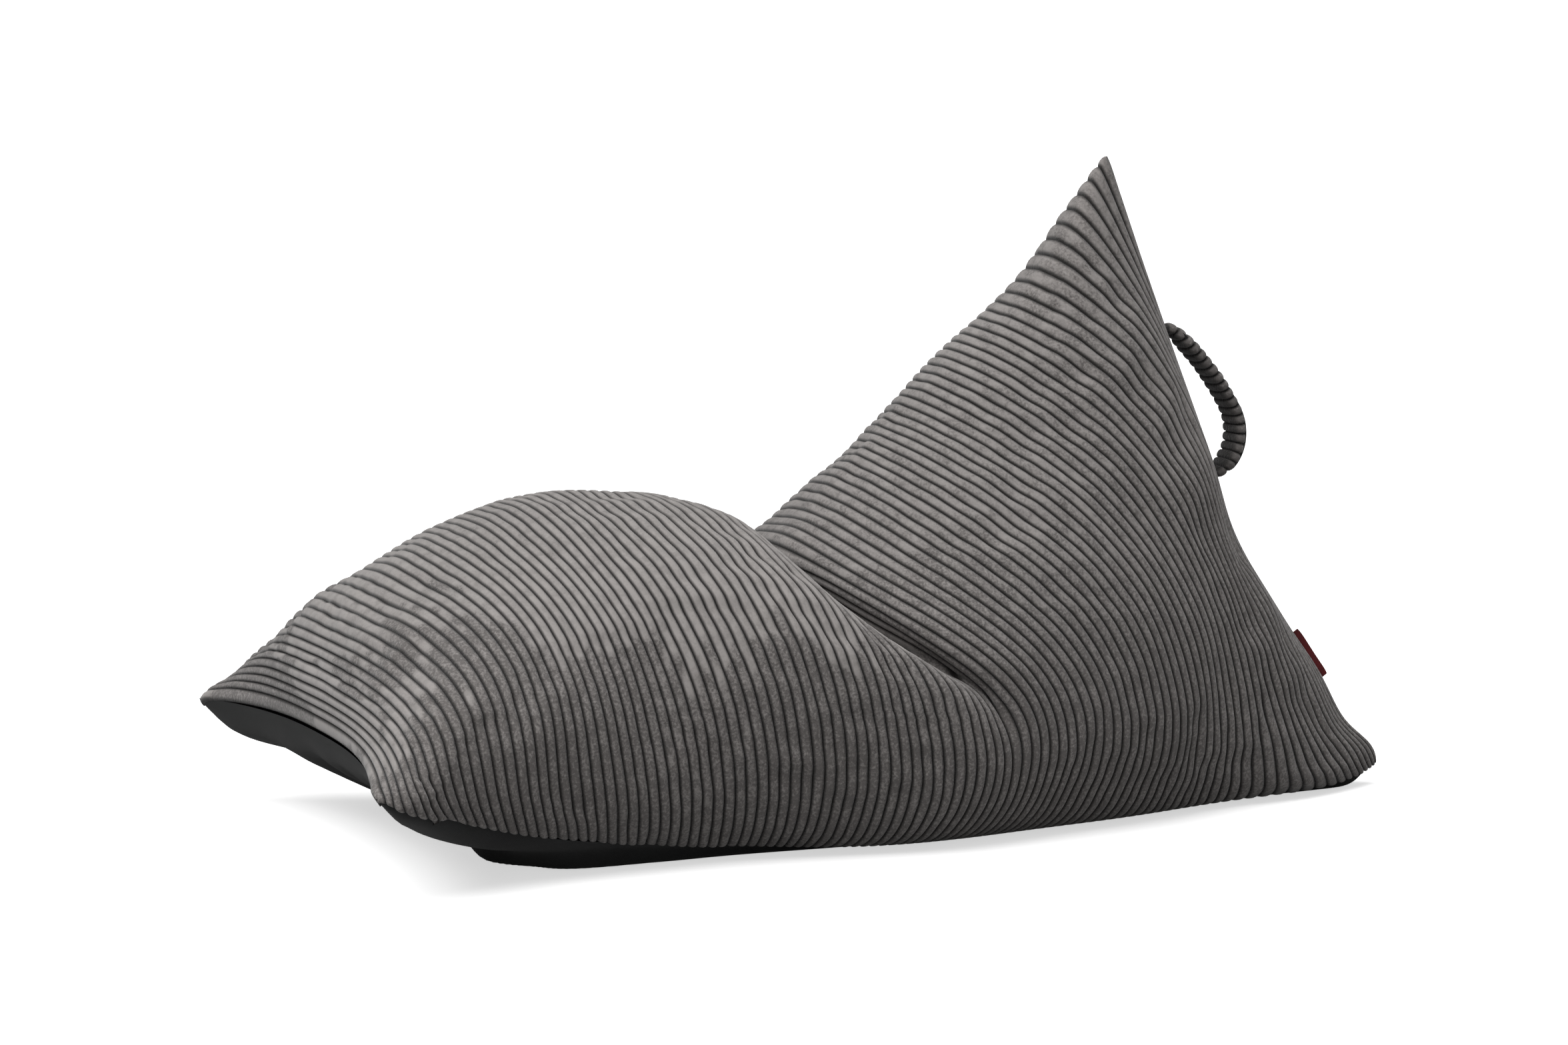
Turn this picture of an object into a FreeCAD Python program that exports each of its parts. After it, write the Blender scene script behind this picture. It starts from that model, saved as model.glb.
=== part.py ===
"""Lounger bean bag: a pinched-corner bag with a backrest peak, a low seat and a flat base.

Millimetres.  +Z is up, +X is the sitter's left, -Y is the seat's front edge and +Y the rear tip.
The origin is on the floor, in the middle of the bag's footprint.

The bag is drawn as a run of closed sections, one every few wales of the corduroy, from the
horizontal front seam to the upright rear seam.  Each section hangs between a point on the
crest (top) line and a point on the keel (bottom) line.
"""
import FreeCAD, Part
import math
import os

Vector = FreeCAD.Vector

# ---------------------------------------------------------------- driving dimensions
LENGTH = 1400.0            # front corners to rear tip
WIDTH = 838.0              # across the front corners
HEIGHT = 790.0             # floor to the peak of the backrest
COVER_WALL = 3.0           # corduroy and base cloth, with the seam allowance inside
LINER_WALL = 1.0           # inner bag that holds the beads
LAYER_GAP = 0.5            # air between one layer and the next
LINER_SPLIT_RISE = 20.0    # the liner's base and upper are sewn together this far over its zip

SEAM_HEIGHT = 30.0         # base cloth turns up this far above the floor along the seat
SEAM_HALF_WIDTH = 290.0    # half width of the base panel where the seam reaches the floor
SEAM_TURN_Y = -0.22        # where that is, as a share of the length
BASE_REAR_Y = 0.44         # where the base panel runs out, as a share of the length

OUTER_ZIP_LENGTH = 560.0   # along the middle of the base
OUTER_TAPE_WIDTH = 15.0
OUTER_TAPE_Z = 7.0         # underside of the tape, above the floor
OUTER_ZIP_Y = 0.0          # middle of the zip
OUTER_ZIP_X = 0.0
LINER_ZIP_LENGTH = 340.0
LINER_TAPE_WIDTH = 10.0
LINER_ZIP_Y = 0.0
LINER_ZIP_X = -80.0
LINER_TAPE_DROP = 4.0      # liner zip's tape above the liner's underside

CHAIN_HALF_GAP = 0.8       # room for the slider's post between the two rows of teeth
TEETH_WIDTH = 1.8
TEETH_THICK = 2.0
TAPE_THICK = 0.8
PLATE_THICK = 1.0          # slider plates
SLIDER_LENGTH = 11.0
SLIDER_HALF_WIDTH = 4.4
SLIDER_GAP = 0.4           # slider to teeth
STOP_LENGTH = 3.0
PULL_LENGTH = 30.0
PULL_WIDTH = 9.0
PULL_THICK = 1.0
PIVOT_RADIUS = 0.6         # pin that carries the pull
PIVOT_CLEARANCE = 0.1
EYE_WALL = 0.7
EYE_GAP = 0.3              # eye to the lugs and to the slider's plate
PLATE_CORNER = 1.5         # rounded corners of the slider's plates
PULL_CORNER = 2.7
LUG_SKIRT = 0.2            # the lugs stop this far short of the eye's underside

HANDLE_WIDTH = 50.0        # strap, across the bag
HANDLE_THICK = 12.0
HANDLE_TOP_SHARE = 0.735   # roots, as shares of the rear seam's height from the tip
HANDLE_LOW_SHARE = 0.505
HANDLE_PIVOT_OUT = 5.0     # the strap flexes this far outside the seam
HANDLE_PIVOT_RADIUS = 3.5
HANDLE_ROOT_OUT = 11.0     # full width starts here
HANDLE_BOW = 49.0          # how far the loop stands off the seam
WEBBING_WIDTH = 40.0
WEBBING_THICK = 4.0
WEBBING_GAP = 0.3

LABEL_LENGTH = 66.0
LABEL_STANDOUT = 10.0
LABEL_THICK = 1.4
LABEL_SHARE = 0.205        # middle of the label, as a share of the rear seam
LABEL_PIVOT_OUT = 1.6
LABEL_GAP = 0.3            # folded label to the edge of it that is sewn in
TAB_SINK = 4.0             # sewn ends run this far into the seam

# ---------------------------------------------------------------- table of offsets
# share along the bag, crest y, crest z, keel y, keel z, half width, bow, lean, upper and lower
# roundness.  y, bow and lean are shares of LENGTH, z of HEIGHT and half width of WIDTH.
OFFSETS = [
    (0.00, -0.468, 0.177, -0.468, 0.167, 0.500, 0.000, 0.000, 0.82, 0.70),
    (0.05, -0.471, 0.285, -0.395, 0.100, 0.464, 0.006, 0.006, 0.98, 0.72),
    (0.12, -0.418, 0.396, -0.320, 0.022, 0.418, 0.004, 0.009, 1.10, 0.76),
    (0.22, -0.321, 0.472, -0.236, -0.038, 0.378, 0.009, 0.004, 1.00, 0.80),
    (0.34, -0.221, 0.501, -0.146, -0.044, 0.363, 0.019, 0.000, 0.90, 0.74),
    (0.44, -0.118, 0.467, -0.062, -0.044, 0.365, 0.038, -0.004, 0.88, 0.64),
    (0.52, -0.088, 0.405, 0.013, -0.044, 0.354, 0.069, -0.011, 0.94, 0.60),
    (0.60, -0.036, 0.490, 0.100, -0.044, 0.313, 0.076, -0.011, 0.98, 0.57),
    (0.70, 0.031, 0.606, 0.218, -0.038, 0.258, 0.074, -0.005, 0.97, 0.57),
    (0.80, 0.097, 0.724, 0.335, -0.028, 0.183, 0.062, 0.001, 0.86, 0.63),
    (0.90, 0.161, 0.823, 0.451, -0.010, 0.117, 0.024, 0.009, 0.66, 0.70),
    (1.00, 0.235, 1.000, 0.500, 0.025, 0.004, -0.026, 0.002, 0.50, 0.76),
]
EAR_FORWARD = 0.032        # front corners reach this far past the middle of the front seam
EAR_DROP = 0.038           # and hang this much lower
EAR_REACH = 0.22           # both fade out by this station
EAR_POWER = 2.5
SEAM_END_FRONT = 0.0016    # a layer stops this share of the bag short of the front seam per mm
SEAM_END_REAR = 0.0026     # and of the rear seam
SEAM_END_SIDE = 1.5        # and this many times its inset short of the front corners

ROWS = [0.0, 0.02, 0.05, 0.09, 0.14, 0.20, 0.27, 0.34, 0.40, 0.45, 0.485, 0.52, 0.56, 0.61,
        0.67, 0.73, 0.79, 0.85, 0.90, 0.94, 0.975, 1.0]
QUARTER_STEPS = 8          # control columns in a quarter of a section


def natural_spline(xs, ys):
    """Curvatures of the natural cubic through the points (xs, ys)."""
    n = len(xs)
    upper, rhs = [0.0] * n, [0.0] * n
    for i in range(1, n - 1):
        left, right = xs[i] - xs[i - 1], xs[i + 1] - xs[i]
        slope_change = (ys[i + 1] - ys[i]) / right - (ys[i] - ys[i - 1]) / left
        pivot = 2 * (left + right) - left * upper[i - 1]
        upper[i] = right / pivot
        rhs[i] = (6 * slope_change - left * rhs[i - 1]) / pivot
    curvature = [0.0] * n
    for i in range(n - 2, 0, -1):
        curvature[i] = rhs[i] - upper[i] * curvature[i + 1]
    return curvature


STATION = [row[0] for row in OFFSETS]
COLUMNS = [[row[k] for row in OFFSETS] for k in range(1, 10)]
CURVATURES = [natural_spline(STATION, column) for column in COLUMNS]


def offsets_at(u):
    """The nine offsets at station u, each on its own natural cubic."""
    i = 0
    while i < len(STATION) - 2 and u > STATION[i + 1]:
        i += 1
    span = STATION[i + 1] - STATION[i]
    b = (u - STATION[i]) / span
    a = 1 - b
    values = []
    for column, curvature in zip(COLUMNS, CURVATURES):
        bend = (a ** 3 - a) * curvature[i] + (b ** 3 - b) * curvature[i + 1]
        values.append(a * column[i] + b * column[i + 1] + bend * span * span / 6)
    return values


def signed_power(value, power):
    """Power that keeps the sign, for a superellipse."""
    return math.copysign(abs(value) ** power, value)


def ear_shift(u, x):
    """Forward and downward shift of the front corners at station u and width x."""
    fade = min(max(1 - u / EAR_REACH, 0.0), 1.0)
    fade = fade * fade * (3 - 2 * fade)
    reach = (abs(x) / (WIDTH / 2)) ** EAR_POWER
    return -EAR_FORWARD * LENGTH * fade * reach, -EAR_DROP * HEIGHT * fade * reach


def skin_point(u, angle):
    """Point of the bag's skin: u along the bag, angle round the section from the crest."""
    cy, cz, ky, kz, half, bow, lean, upper, lower = offsets_at(u)
    crest_y, crest_z = cy * LENGTH, cz * HEIGHT
    keel_y, keel_z = ky * LENGTH, kz * HEIGHT
    up_y, up_z = crest_y - keel_y, crest_z - keel_z
    rise = math.hypot(up_y, up_z)
    c, s = round(math.cos(angle), 9), round(math.sin(angle), 9)
    power = upper if c >= 0 else lower
    x = half * WIDTH * signed_power(s, power)
    share = 0.5 + 0.5 * signed_power(c, power)
    belly = 4 * share * (1 - share)
    push = LENGTH * belly * (bow + 4 * lean * (2 * share - 1))
    ear_y, ear_z = ear_shift(u, x)
    y = keel_y + up_y * share + push * up_z / rise + ear_y
    z = keel_z + up_z * share - push * up_y / rise + ear_z
    return Vector(x, y, z)


def inset_point(u, angle, inset):
    """The skin point moved inwards along the skin's normal."""
    point = skin_point(u, angle)
    if inset == 0:
        return point
    step = 0.01
    low, high = max(u - step, 0.001), min(u + step, 0.999)
    along = skin_point(high, angle) - skin_point(low, angle)
    around = skin_point(u, angle + step) - skin_point(u, angle - step)
    normal = around.cross(along)
    normal.normalize()
    return point - normal * inset


def section_ring(row, angles, inset):
    """Control points of one section; the end sections are closed flat, like the seams."""
    front, rear = SEAM_END_FRONT * inset, SEAM_END_REAR * inset
    u = front + (1 - front - rear) * row
    if row == ROWS[0]:
        ring = []
        for angle in angles:
            above = inset_point(u, angle, inset)
            below = inset_point(u, math.pi - angle, inset)
            point = (above + below) * 0.5
            point.x *= 1 - SEAM_END_SIDE * inset / (WIDTH / 2)
            ring.append(point)
        return ring
    ring = [inset_point(u, angle, inset) for angle in angles]
    if row == ROWS[-1]:
        for point in ring:
            point.x = 0.0
    return ring


def clamped_knots(count):
    """Knots and multiplicities of a clamped uniform cubic with this many poles."""
    spans = count - 3
    knots = [i / spans for i in range(spans + 1)]
    mults = [4] + [1] * (spans - 1) + [4]
    return knots, mults


def bspline_face(grid):
    """Smooth face steered by a grid of points, which it meets along its four edges."""
    u_knots, u_mults = clamped_knots(len(grid))
    v_knots, v_mults = clamped_knots(len(grid[0]))
    surface = Part.BSplineSurface()
    surface.buildFromPolesMultsKnots(grid, u_mults, v_mults, u_knots, v_knots, False, False, 3, 3)
    return surface.toShape()


def block(x0, x1, y0, y1, z0, z1):
    """Box between two corners."""
    return Part.makeBox(x1 - x0, y1 - y0, z1 - z0, Vector(x0, y0, z0))


def bag_solid(inset, floor):
    """Closed solid of the bag, inset from the skin and flat underneath at height floor."""
    quarters = []
    for start in (0.0, 90.0, 180.0, 270.0):
        step = 90.0 / QUARTER_STEPS
        angles = [math.radians(start + step * i) for i in range(QUARTER_STEPS + 1)]
        quarters.append(bspline_face([section_ring(row, angles, inset) for row in ROWS]))
    solid = Part.makeSolid(Part.makeShell(quarters))
    if solid.Volume < 0:
        solid.reverse()
    far = 2 * LENGTH
    return solid.cut(block(-far, far, -far, far, -HEIGHT, floor))


def upright_edges(solid):
    """The edges of a plate that stand along Z."""
    return [edge for edge in solid.Edges if abs(edge.tangentAt(edge.FirstParameter).z) > 0.99]


def extrude_profile(points, thickness):
    """Plate from an outline in the middle plane, centred on it across X."""
    face = Part.Face(Part.makePolygon(points + points[:1]))
    plate = face.extrude(Vector(thickness, 0, 0))
    plate.translate(Vector(-thickness / 2, 0, 0))
    return plate


# ---------------------------------------------------------------- layers of the bag
COVER_FLOOR = COVER_WALL
LINER_INSET = COVER_WALL + LAYER_GAP
LINER_INNER_INSET = LINER_INSET + LINER_WALL
FILL_INSET = LINER_INNER_INSET + LAYER_GAP


class ZipPlan:
    """Places of one zip's pieces, all worked out from its tape height and its middle."""

    def __init__(self, x, y, length, tape_width, tape_z, pull_room):
        self.x = x
        self.pull_room = pull_room
        self.front, self.rear = y - length / 2, y + length / 2
        self.tape_width = tape_width
        self.tape_z = tape_z
        self.middle_z = tape_z + TAPE_THICK / 2
        self.reach = SLIDER_GAP + TEETH_THICK / 2
        self.plate_low = self.middle_z - self.reach - PLATE_THICK
        self.plate_high = self.middle_z + self.reach + PLATE_THICK
        self.wall_x = CHAIN_HALF_GAP + TEETH_WIDTH + tape_width
        self.slider_rear = self.rear - STOP_LENGTH - SLIDER_GAP
        self.slider_front = self.slider_rear - SLIDER_LENGTH

    def channel(self, z0, z1, margin):
        """The recess that the zip lies in, with room at the front for the pull."""
        half = self.wall_x + margin
        front = self.front - self.pull_room - margin
        return block(self.x - half, self.x + half, front, self.rear + margin, z0, z1)

    def side(self, sign, x0, x1, y0, y1, z0, z1):
        """Strip along one side of the zip, x0 to x1 from its middle."""
        low, high = sorted((self.x + sign * x0, self.x + sign * x1))
        return block(low, high, y0, y1, z0, z1)

    def tape(self, sign):
        """Woven tape, from the channel's wall to the teeth, and past the front stop."""
        return self.side(sign, CHAIN_HALF_GAP + TEETH_WIDTH, self.wall_x, self.front - self.pull_room,
                         self.rear, self.tape_z, self.tape_z + TAPE_THICK)

    def teeth(self, sign):
        """One row of teeth, as a plain bar between the stops."""
        half = TEETH_THICK / 2
        return self.side(sign, CHAIN_HALF_GAP, CHAIN_HALF_GAP + TEETH_WIDTH, self.front + STOP_LENGTH,
                         self.rear - STOP_LENGTH, self.middle_z - half, self.middle_z + half)

    def stops(self):
        """The two end stops, which the slider runs between."""
        half_width = CHAIN_HALF_GAP + TEETH_WIDTH
        half = TEETH_THICK / 2
        stops = [block(self.x - half_width, self.x + half_width, y, y + STOP_LENGTH,
                       self.middle_z - half, self.middle_z + half)
                 for y in (self.front, self.rear - STOP_LENGTH)]
        return Part.Compound(stops)

    def slider(self):
        """Two plates joined by a post that runs between the rows of teeth, with side flanges."""
        front, rear = self.slider_front, self.slider_rear
        half = SLIDER_HALF_WIDTH
        plates = []
        for z0 in (self.plate_low, self.plate_high - PLATE_THICK):
            plate = block(self.x - half, self.x + half, front, rear, z0, z0 + PLATE_THICK)
            plates.append(plate.makeFillet(PLATE_CORNER, upright_edges(plate)))
        post_half = CHAIN_HALF_GAP - SLIDER_GAP / 2
        post = block(self.x - post_half, self.x + post_half, rear - 4 * PLATE_THICK,
                     rear - PLATE_THICK, self.plate_low, self.plate_high)
        body = plates[0].fuse([plates[1], post])
        flange_in = CHAIN_HALF_GAP + TEETH_WIDTH + SLIDER_GAP
        under_tape = (self.plate_low, self.tape_z - SLIDER_GAP)
        over_tape = (self.tape_z + TAPE_THICK + SLIDER_GAP, self.plate_high)
        for sign in (-1, 1):
            for low, high in (under_tape, over_tape):
                body = body.fuse(self.side(sign, flange_in, half, front + PLATE_CORNER,
                                           rear - PLATE_CORNER, low, high))
        return body.removeSplitter()


LINER_TAPE_Z = LINER_INSET + LINER_TAPE_DROP
OUTER_ZIP = ZipPlan(OUTER_ZIP_X, OUTER_ZIP_Y, OUTER_ZIP_LENGTH, OUTER_TAPE_WIDTH, OUTER_TAPE_Z,
                    PULL_LENGTH)
LINER_ZIP = ZipPlan(LINER_ZIP_X, LINER_ZIP_Y, LINER_ZIP_LENGTH, LINER_TAPE_WIDTH, LINER_TAPE_Z, 0.0)
OUTER_ROOF = OUTER_ZIP.plate_high + LAYER_GAP
LINER_ROOF = LINER_ZIP.plate_high + LAYER_GAP


def layer(inset, floor):
    """One layer's solid, with recesses over both zips, as deep as this layer needs."""
    depth = inset - COVER_WALL
    solid = bag_solid(inset, floor)
    solid = solid.cut(OUTER_ZIP.channel(-1, OUTER_ROOF + depth, COVER_WALL + depth))
    if inset > LINER_INSET:
        depth = inset - LINER_INSET
        solid = solid.cut(LINER_ZIP.channel(-1, LINER_ROOF + depth, LINER_WALL + depth))
    return solid


# middle line of the seam between corduroy and base cloth over the front of the bag: its y and z
# as shares of LENGTH and HEIGHT, and how much of the corners' reach it takes part in
SEAM_LINE = [(-0.60, 0.172, 1.0), (-0.50, 0.172, 1.0), (-0.468, 0.172, 1.0), (-0.43, 0.130, 0.6),
             (-0.34, 0.065, 0.15), (-0.26, 0.0, 0.0), (-0.10, 0.0, 0.0), (0.60, 0.0, 0.0)]
SEAM_STEPS = 9             # control columns each side of the middle; the eighth is at the corner


def seam_tool():
    """Everything under the seam between the corduroy and the base cloth."""
    grid = []
    for y_share, z_share, ear in SEAM_LINE:
        line = []
        for i in range(-SEAM_STEPS, SEAM_STEPS + 1):
            share = i / (SEAM_STEPS - 1)
            reach = ear * abs(share) ** EAR_POWER
            z = max(z_share * HEIGHT, SEAM_HEIGHT)
            line.append(Vector(share * WIDTH / 2, (y_share - EAR_FORWARD * reach) * LENGTH,
                               z - EAR_DROP * HEIGHT * reach))
        grid.append(line)
    below = bspline_face(grid).extrude(Vector(0, 0, -HEIGHT))
    far = WIDTH
    turn, rear = SEAM_TURN_Y * LENGTH, BASE_REAR_Y * LENGTH
    outline = [Vector(-far, -LENGTH, 0), Vector(far, -LENGTH, 0), Vector(far, turn, 0),
               Vector(SEAM_HALF_WIDTH, turn, 0), Vector(0, rear, 0),
               Vector(-SEAM_HALF_WIDTH, turn, 0), Vector(-far, turn, 0)]
    plan = Part.Face(Part.makePolygon(outline + outline[:1])).extrude(Vector(0, 0, 2 * HEIGHT))
    plan.translate(Vector(0, 0, -HEIGHT))
    return below.common(plan)


def rear_seam(share):
    """Point of the upright rear seam, share 0 at the tip and 1 at the peak."""
    upper, lower = offsets_at(1.0)[7:9]
    power = upper if share >= 0.5 else lower
    point = skin_point(1.0, math.acos(signed_power(2 * share - 1, 1 / power)))
    point.x = 0.0
    return point


def seam_frame(low_share, high_share):
    """Upper and lower point on the rear seam, the way down it and the way out of the bag."""
    top, low = rear_seam(high_share), rear_seam(low_share)
    down = low - top
    span = down.Length
    down.normalize()
    return top, span, down, Vector(0, -down.z, down.y)


HANDLE_TOP, HANDLE_SPAN, HANDLE_DOWN, HANDLE_OUT = seam_frame(HANDLE_LOW_SHARE, HANDLE_TOP_SHARE)


def handle_place(along, out):
    """Point beside the rear seam: along the chord between the roots, and out from it."""
    return HANDLE_TOP + HANDLE_DOWN * along + HANDLE_OUT * out


# middle line of the loop: shares of the chord, and of the bow
LOOP = [(0.03, 0.20), (0.10, 0.32), (0.26, 0.60), (0.41, 0.80), (0.56, 0.94), (0.68, 1.00),
        (0.79, 0.92), (0.88, 0.72), (0.94, 0.46), (0.97, 0.20)]


LOOP_STEPS = 36            # points on each side of the strap


def strap_profile(half_thick):
    """Side view of the strap: the loop's middle line with a parallel line each side."""
    middle = Part.BSplineCurve()
    middle.interpolate([handle_place(a * HANDLE_SPAN, b * HANDLE_BOW) for a, b in LOOP])
    first, last = middle.FirstParameter, middle.LastParameter
    sides = ([], [])
    for i in range(LOOP_STEPS + 1):
        t = first + (last - first) * i / LOOP_STEPS
        tangent = Vector(*middle.tangent(t)[0])
        normal = Vector(0, -tangent.z, tangent.y)
        point = middle.value(t)
        sides[0].append(point + normal * half_thick)
        sides[1].append(point - normal * half_thick)
    outer, inner = Part.BSplineCurve(), Part.BSplineCurve()
    outer.interpolate(sides[0])
    inner.interpolate(sides[1])
    ends = [Part.makeLine(sides[0][-1], sides[1][-1]), Part.makeLine(sides[1][0], sides[0][0])]
    return Part.Face(Part.Wire([outer.toShape(), ends[0], inner.toShape().reversed(), ends[1]]))


def strap_plate(half_thick, width):
    """The strap's profile given its width."""
    plate = strap_profile(half_thick).extrude(Vector(width, 0, 0))
    plate.translate(Vector(-width / 2, 0, 0))
    return plate


def strip_beside_seam(along, half, inner, outer, width):
    """Plate beside the rear seam: along the chord to each side, from inner to outer, and wide in X."""
    corners = [handle_place(along - half, inner), handle_place(along + half, inner),
               handle_place(along + half, outer), handle_place(along - half, outer)]
    return extrude_profile(corners, width)


def beyond(out):
    """Everything further out than this from the chord between the handle's roots."""
    return strip_beside_seam(0, LENGTH, out, LENGTH, LENGTH)


def handle_roots():
    """Where the two gathered ends of the handle are, along the chord."""
    first = HANDLE_SPAN * LOOP[0][0] + HANDLE_THICK / 2
    return first, HANDLE_SPAN - first


def pivot_stub(along):
    """Gathered end of the strap: a round stub on the flexing line, and a neck to the strap."""
    half = HANDLE_THICK / 2
    base = handle_place(along - half, HANDLE_PIVOT_OUT)
    stub = Part.makeCylinder(HANDLE_PIVOT_RADIUS, HANDLE_THICK, base, HANDLE_DOWN)
    neck = strip_beside_seam(along, half, HANDLE_PIVOT_OUT, HANDLE_ROOT_OUT + half, 2 * HANDLE_PIVOT_RADIUS)
    return stub.fuse(neck)


def handle_sleeve():
    """Corduroy tube of the handle, with its hollow for the webbing."""
    strap = strap_plate(HANDLE_THICK / 2, HANDLE_WIDTH).common(beyond(HANDLE_ROOT_OUT))
    hollow = strap_plate(WEBBING_THICK / 2 + WEBBING_GAP, WEBBING_WIDTH + 2 * WEBBING_GAP)
    hollow = hollow.common(beyond(HANDLE_ROOT_OUT + COVER_WALL))
    stubs = [pivot_stub(along) for along in handle_roots()]
    return strap.fuse(stubs).cut(hollow).removeSplitter()


def handle_webbing():
    """Woven band inside the sleeve."""
    band = strap_plate(WEBBING_THICK / 2, WEBBING_WIDTH)
    return band.common(beyond(HANDLE_ROOT_OUT + COVER_WALL + WEBBING_GAP))


def handle_tabs():
    """Ends of the handle's tape that are caught in the rear seam."""
    reach = HANDLE_PIVOT_OUT - HANDLE_PIVOT_RADIUS - LAYER_GAP
    tabs = [strip_beside_seam(along, HANDLE_THICK / 2, reach, -TAB_SINK, COVER_WALL)
            for along in handle_roots()]
    return Part.Compound(tabs)


def label_frame():
    """Top point, length, way down and way out of the label's stretch of the rear seam."""
    whole = (rear_seam(1.0) - rear_seam(0.0)).Length
    half_share = LABEL_LENGTH / whole / 2
    return seam_frame(LABEL_SHARE - half_share, LABEL_SHARE + half_share)


def label_pieces():
    """The folded label, and the edge of it that is sewn into the seam."""
    top, span, down, out = label_frame()
    radius = LABEL_THICK / 2
    start = top + out * LABEL_PIVOT_OUT
    bead = Part.makeCylinder(radius, span, start, down)
    leaf = extrude_profile([start, start + down * span,
                            start + down * span + out * (LABEL_STANDOUT - LABEL_PIVOT_OUT),
                            start + out * (LABEL_STANDOUT - LABEL_PIVOT_OUT)], LABEL_THICK)
    reach = LABEL_PIVOT_OUT - radius - LABEL_GAP
    sewn = extrude_profile([top + out * reach, top + down * span + out * reach,
                            top + down * span - out * TAB_SINK, top - out * TAB_SINK], LABEL_THICK)
    return bead.fuse(leaf).removeSplitter(), sewn


def zip_pull(plan):
    """Pull tab under the outer slider with an eye round a pin, and the slider's lugs and pin."""
    eye_radius = PIVOT_RADIUS + PIVOT_CLEARANCE + EYE_WALL
    pin_y = plan.slider_front + 2 * PLATE_THICK
    pin_z = plan.plate_low - eye_radius - EYE_GAP
    lug_in, lug_out = PULL_WIDTH / 4, SLIDER_HALF_WIDTH - 2 * LUG_SKIRT
    eye_half = lug_in - EYE_GAP
    plate_z = pin_z - PULL_THICK / 2

    def across(radius, half):
        return Part.makeCylinder(radius, 2 * half, Vector(plan.x - half, pin_y, pin_z), Vector(1, 0, 0))

    neck = block(plan.x - eye_half, plan.x + eye_half, pin_y - 3 * eye_radius, pin_y,
                 plate_z, plate_z + PULL_THICK)
    tab_rear = pin_y - 2 * eye_radius
    tab = block(plan.x - PULL_WIDTH / 2, plan.x + PULL_WIDTH / 2, tab_rear - PULL_LENGTH, tab_rear,
                plate_z, plate_z + PULL_THICK)
    tab = tab.makeFillet(PULL_CORNER, upright_edges(tab))
    pull = across(eye_radius, eye_half).fuse([neck, tab])
    pull = pull.cut(across(PIVOT_RADIUS + PIVOT_CLEARANCE, PULL_WIDTH))
    lugs = [plan.side(sign, lug_in, lug_out, pin_y - eye_radius, pin_y + eye_radius,
                      pin_z - eye_radius + LUG_SKIRT, plan.plate_low) for sign in (-1, 1)]
    return pull.removeSplitter(), lugs + [across(PIVOT_RADIUS, lug_out)], (pin_y, pin_z)


LINER_SPLIT = LINER_ROOF + LINER_WALL + LINER_SPLIT_RISE


def build_pieces():
    """Every piece of the chair by name."""
    skin = bag_solid(0.0, 0.0)
    cover_inside = layer(COVER_WALL, COVER_FLOOR)
    liner_outside = layer(LINER_INSET, COVER_FLOOR + LAYER_GAP)
    liner_inside = layer(LINER_INNER_INSET, COVER_FLOOR + LAYER_GAP + LINER_WALL)
    fill = layer(FILL_INSET, COVER_FLOOR + 2 * LAYER_GAP + LINER_WALL)
    cover = skin.cut(cover_inside)
    under = seam_tool()
    base = cover.common(under).cut(OUTER_ZIP.channel(-1, OUTER_ROOF + 1, 0.0))
    far = 2 * LENGTH
    liner = liner_outside.cut(liner_inside).cut(LINER_ZIP.channel(-1, LINER_ROOF + 1, 0.0))
    pieces = {
        "cover_upper": cover.cut(under),
        "base_panel_left": base.common(block(0, far, -far, far, -1, far)),
        "base_panel_right": base.common(block(-far, 0, -far, far, -1, far)),
        "liner_upper": liner.common(block(-far, far, -far, far, LINER_SPLIT, far)),
        "liner_base": liner.common(block(-far, far, -far, far, -1, LINER_SPLIT)),
        "bead_fill": fill,
    }
    for name, plan in (("outer", OUTER_ZIP), ("liner", LINER_ZIP)):
        for side, sign in (("left", 1), ("right", -1)):
            pieces[f"{name}_zip_tape_{side}"] = plan.tape(sign)
            pieces[f"{name}_zip_teeth_{side}"] = plan.teeth(sign)
        pieces[f"{name}_zip_stops"] = plan.stops()
        pieces[f"{name}_zip_slider"] = plan.slider()
    pull, carrier, pin_place = zip_pull(OUTER_ZIP)
    pieces["outer_zip_slider"] = pieces["outer_zip_slider"].fuse(carrier).removeSplitter()
    pieces["outer_zip_pull"] = pull
    pieces["handle_sleeve"] = handle_sleeve()
    pieces["handle_webbing"] = handle_webbing()
    pieces["handle_seam_tabs"] = handle_tabs()
    pieces["label_tag"], pieces["label_seam_tab"] = label_pieces()
    print("pull pin at y %.2f z %.2f" % pin_place)
    return pieces


def main():
    """Build every piece and write it."""
    os.makedirs("parts", exist_ok=True)
    for name, shape in build_pieces().items():
        shape.exportStep(f"parts/{name}.step")
        box = shape.BoundBox
        print(f"{name}: {len(shape.Solids)} solid(s), {shape.Volume / 1000:.1f} cm3, "
              f"valid {shape.isValid()}, x {box.XMin:.1f} {box.XMax:.1f}, "
              f"y {box.YMin:.1f} {box.YMax:.1f}, z {box.ZMin:.1f} {box.ZMax:.1f}")
    hinge = handle_place(0, HANDLE_PIVOT_OUT)
    print("handle hinge", hinge, "along", HANDLE_DOWN, "span", HANDLE_SPAN)
    top, span, down, out = label_frame()
    print("label hinge", top + out * LABEL_PIVOT_OUT, "along", down)


main()
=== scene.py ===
"""Looks of a lounger bean bag in wide-rib corduroy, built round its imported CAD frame.

Metres, in the frame's own axes: +Z up, -Y the seat's front edge, +Y the rear tip, +X across.
The bag is one closed grid: rows run from the front seam to the rear seam and follow the ribs of
the corduroy, columns run round the bag.  The cover and the two base panels are cut from it.
"""
import logging
import math
from dataclasses import dataclass, field
from enum import Enum

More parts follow.
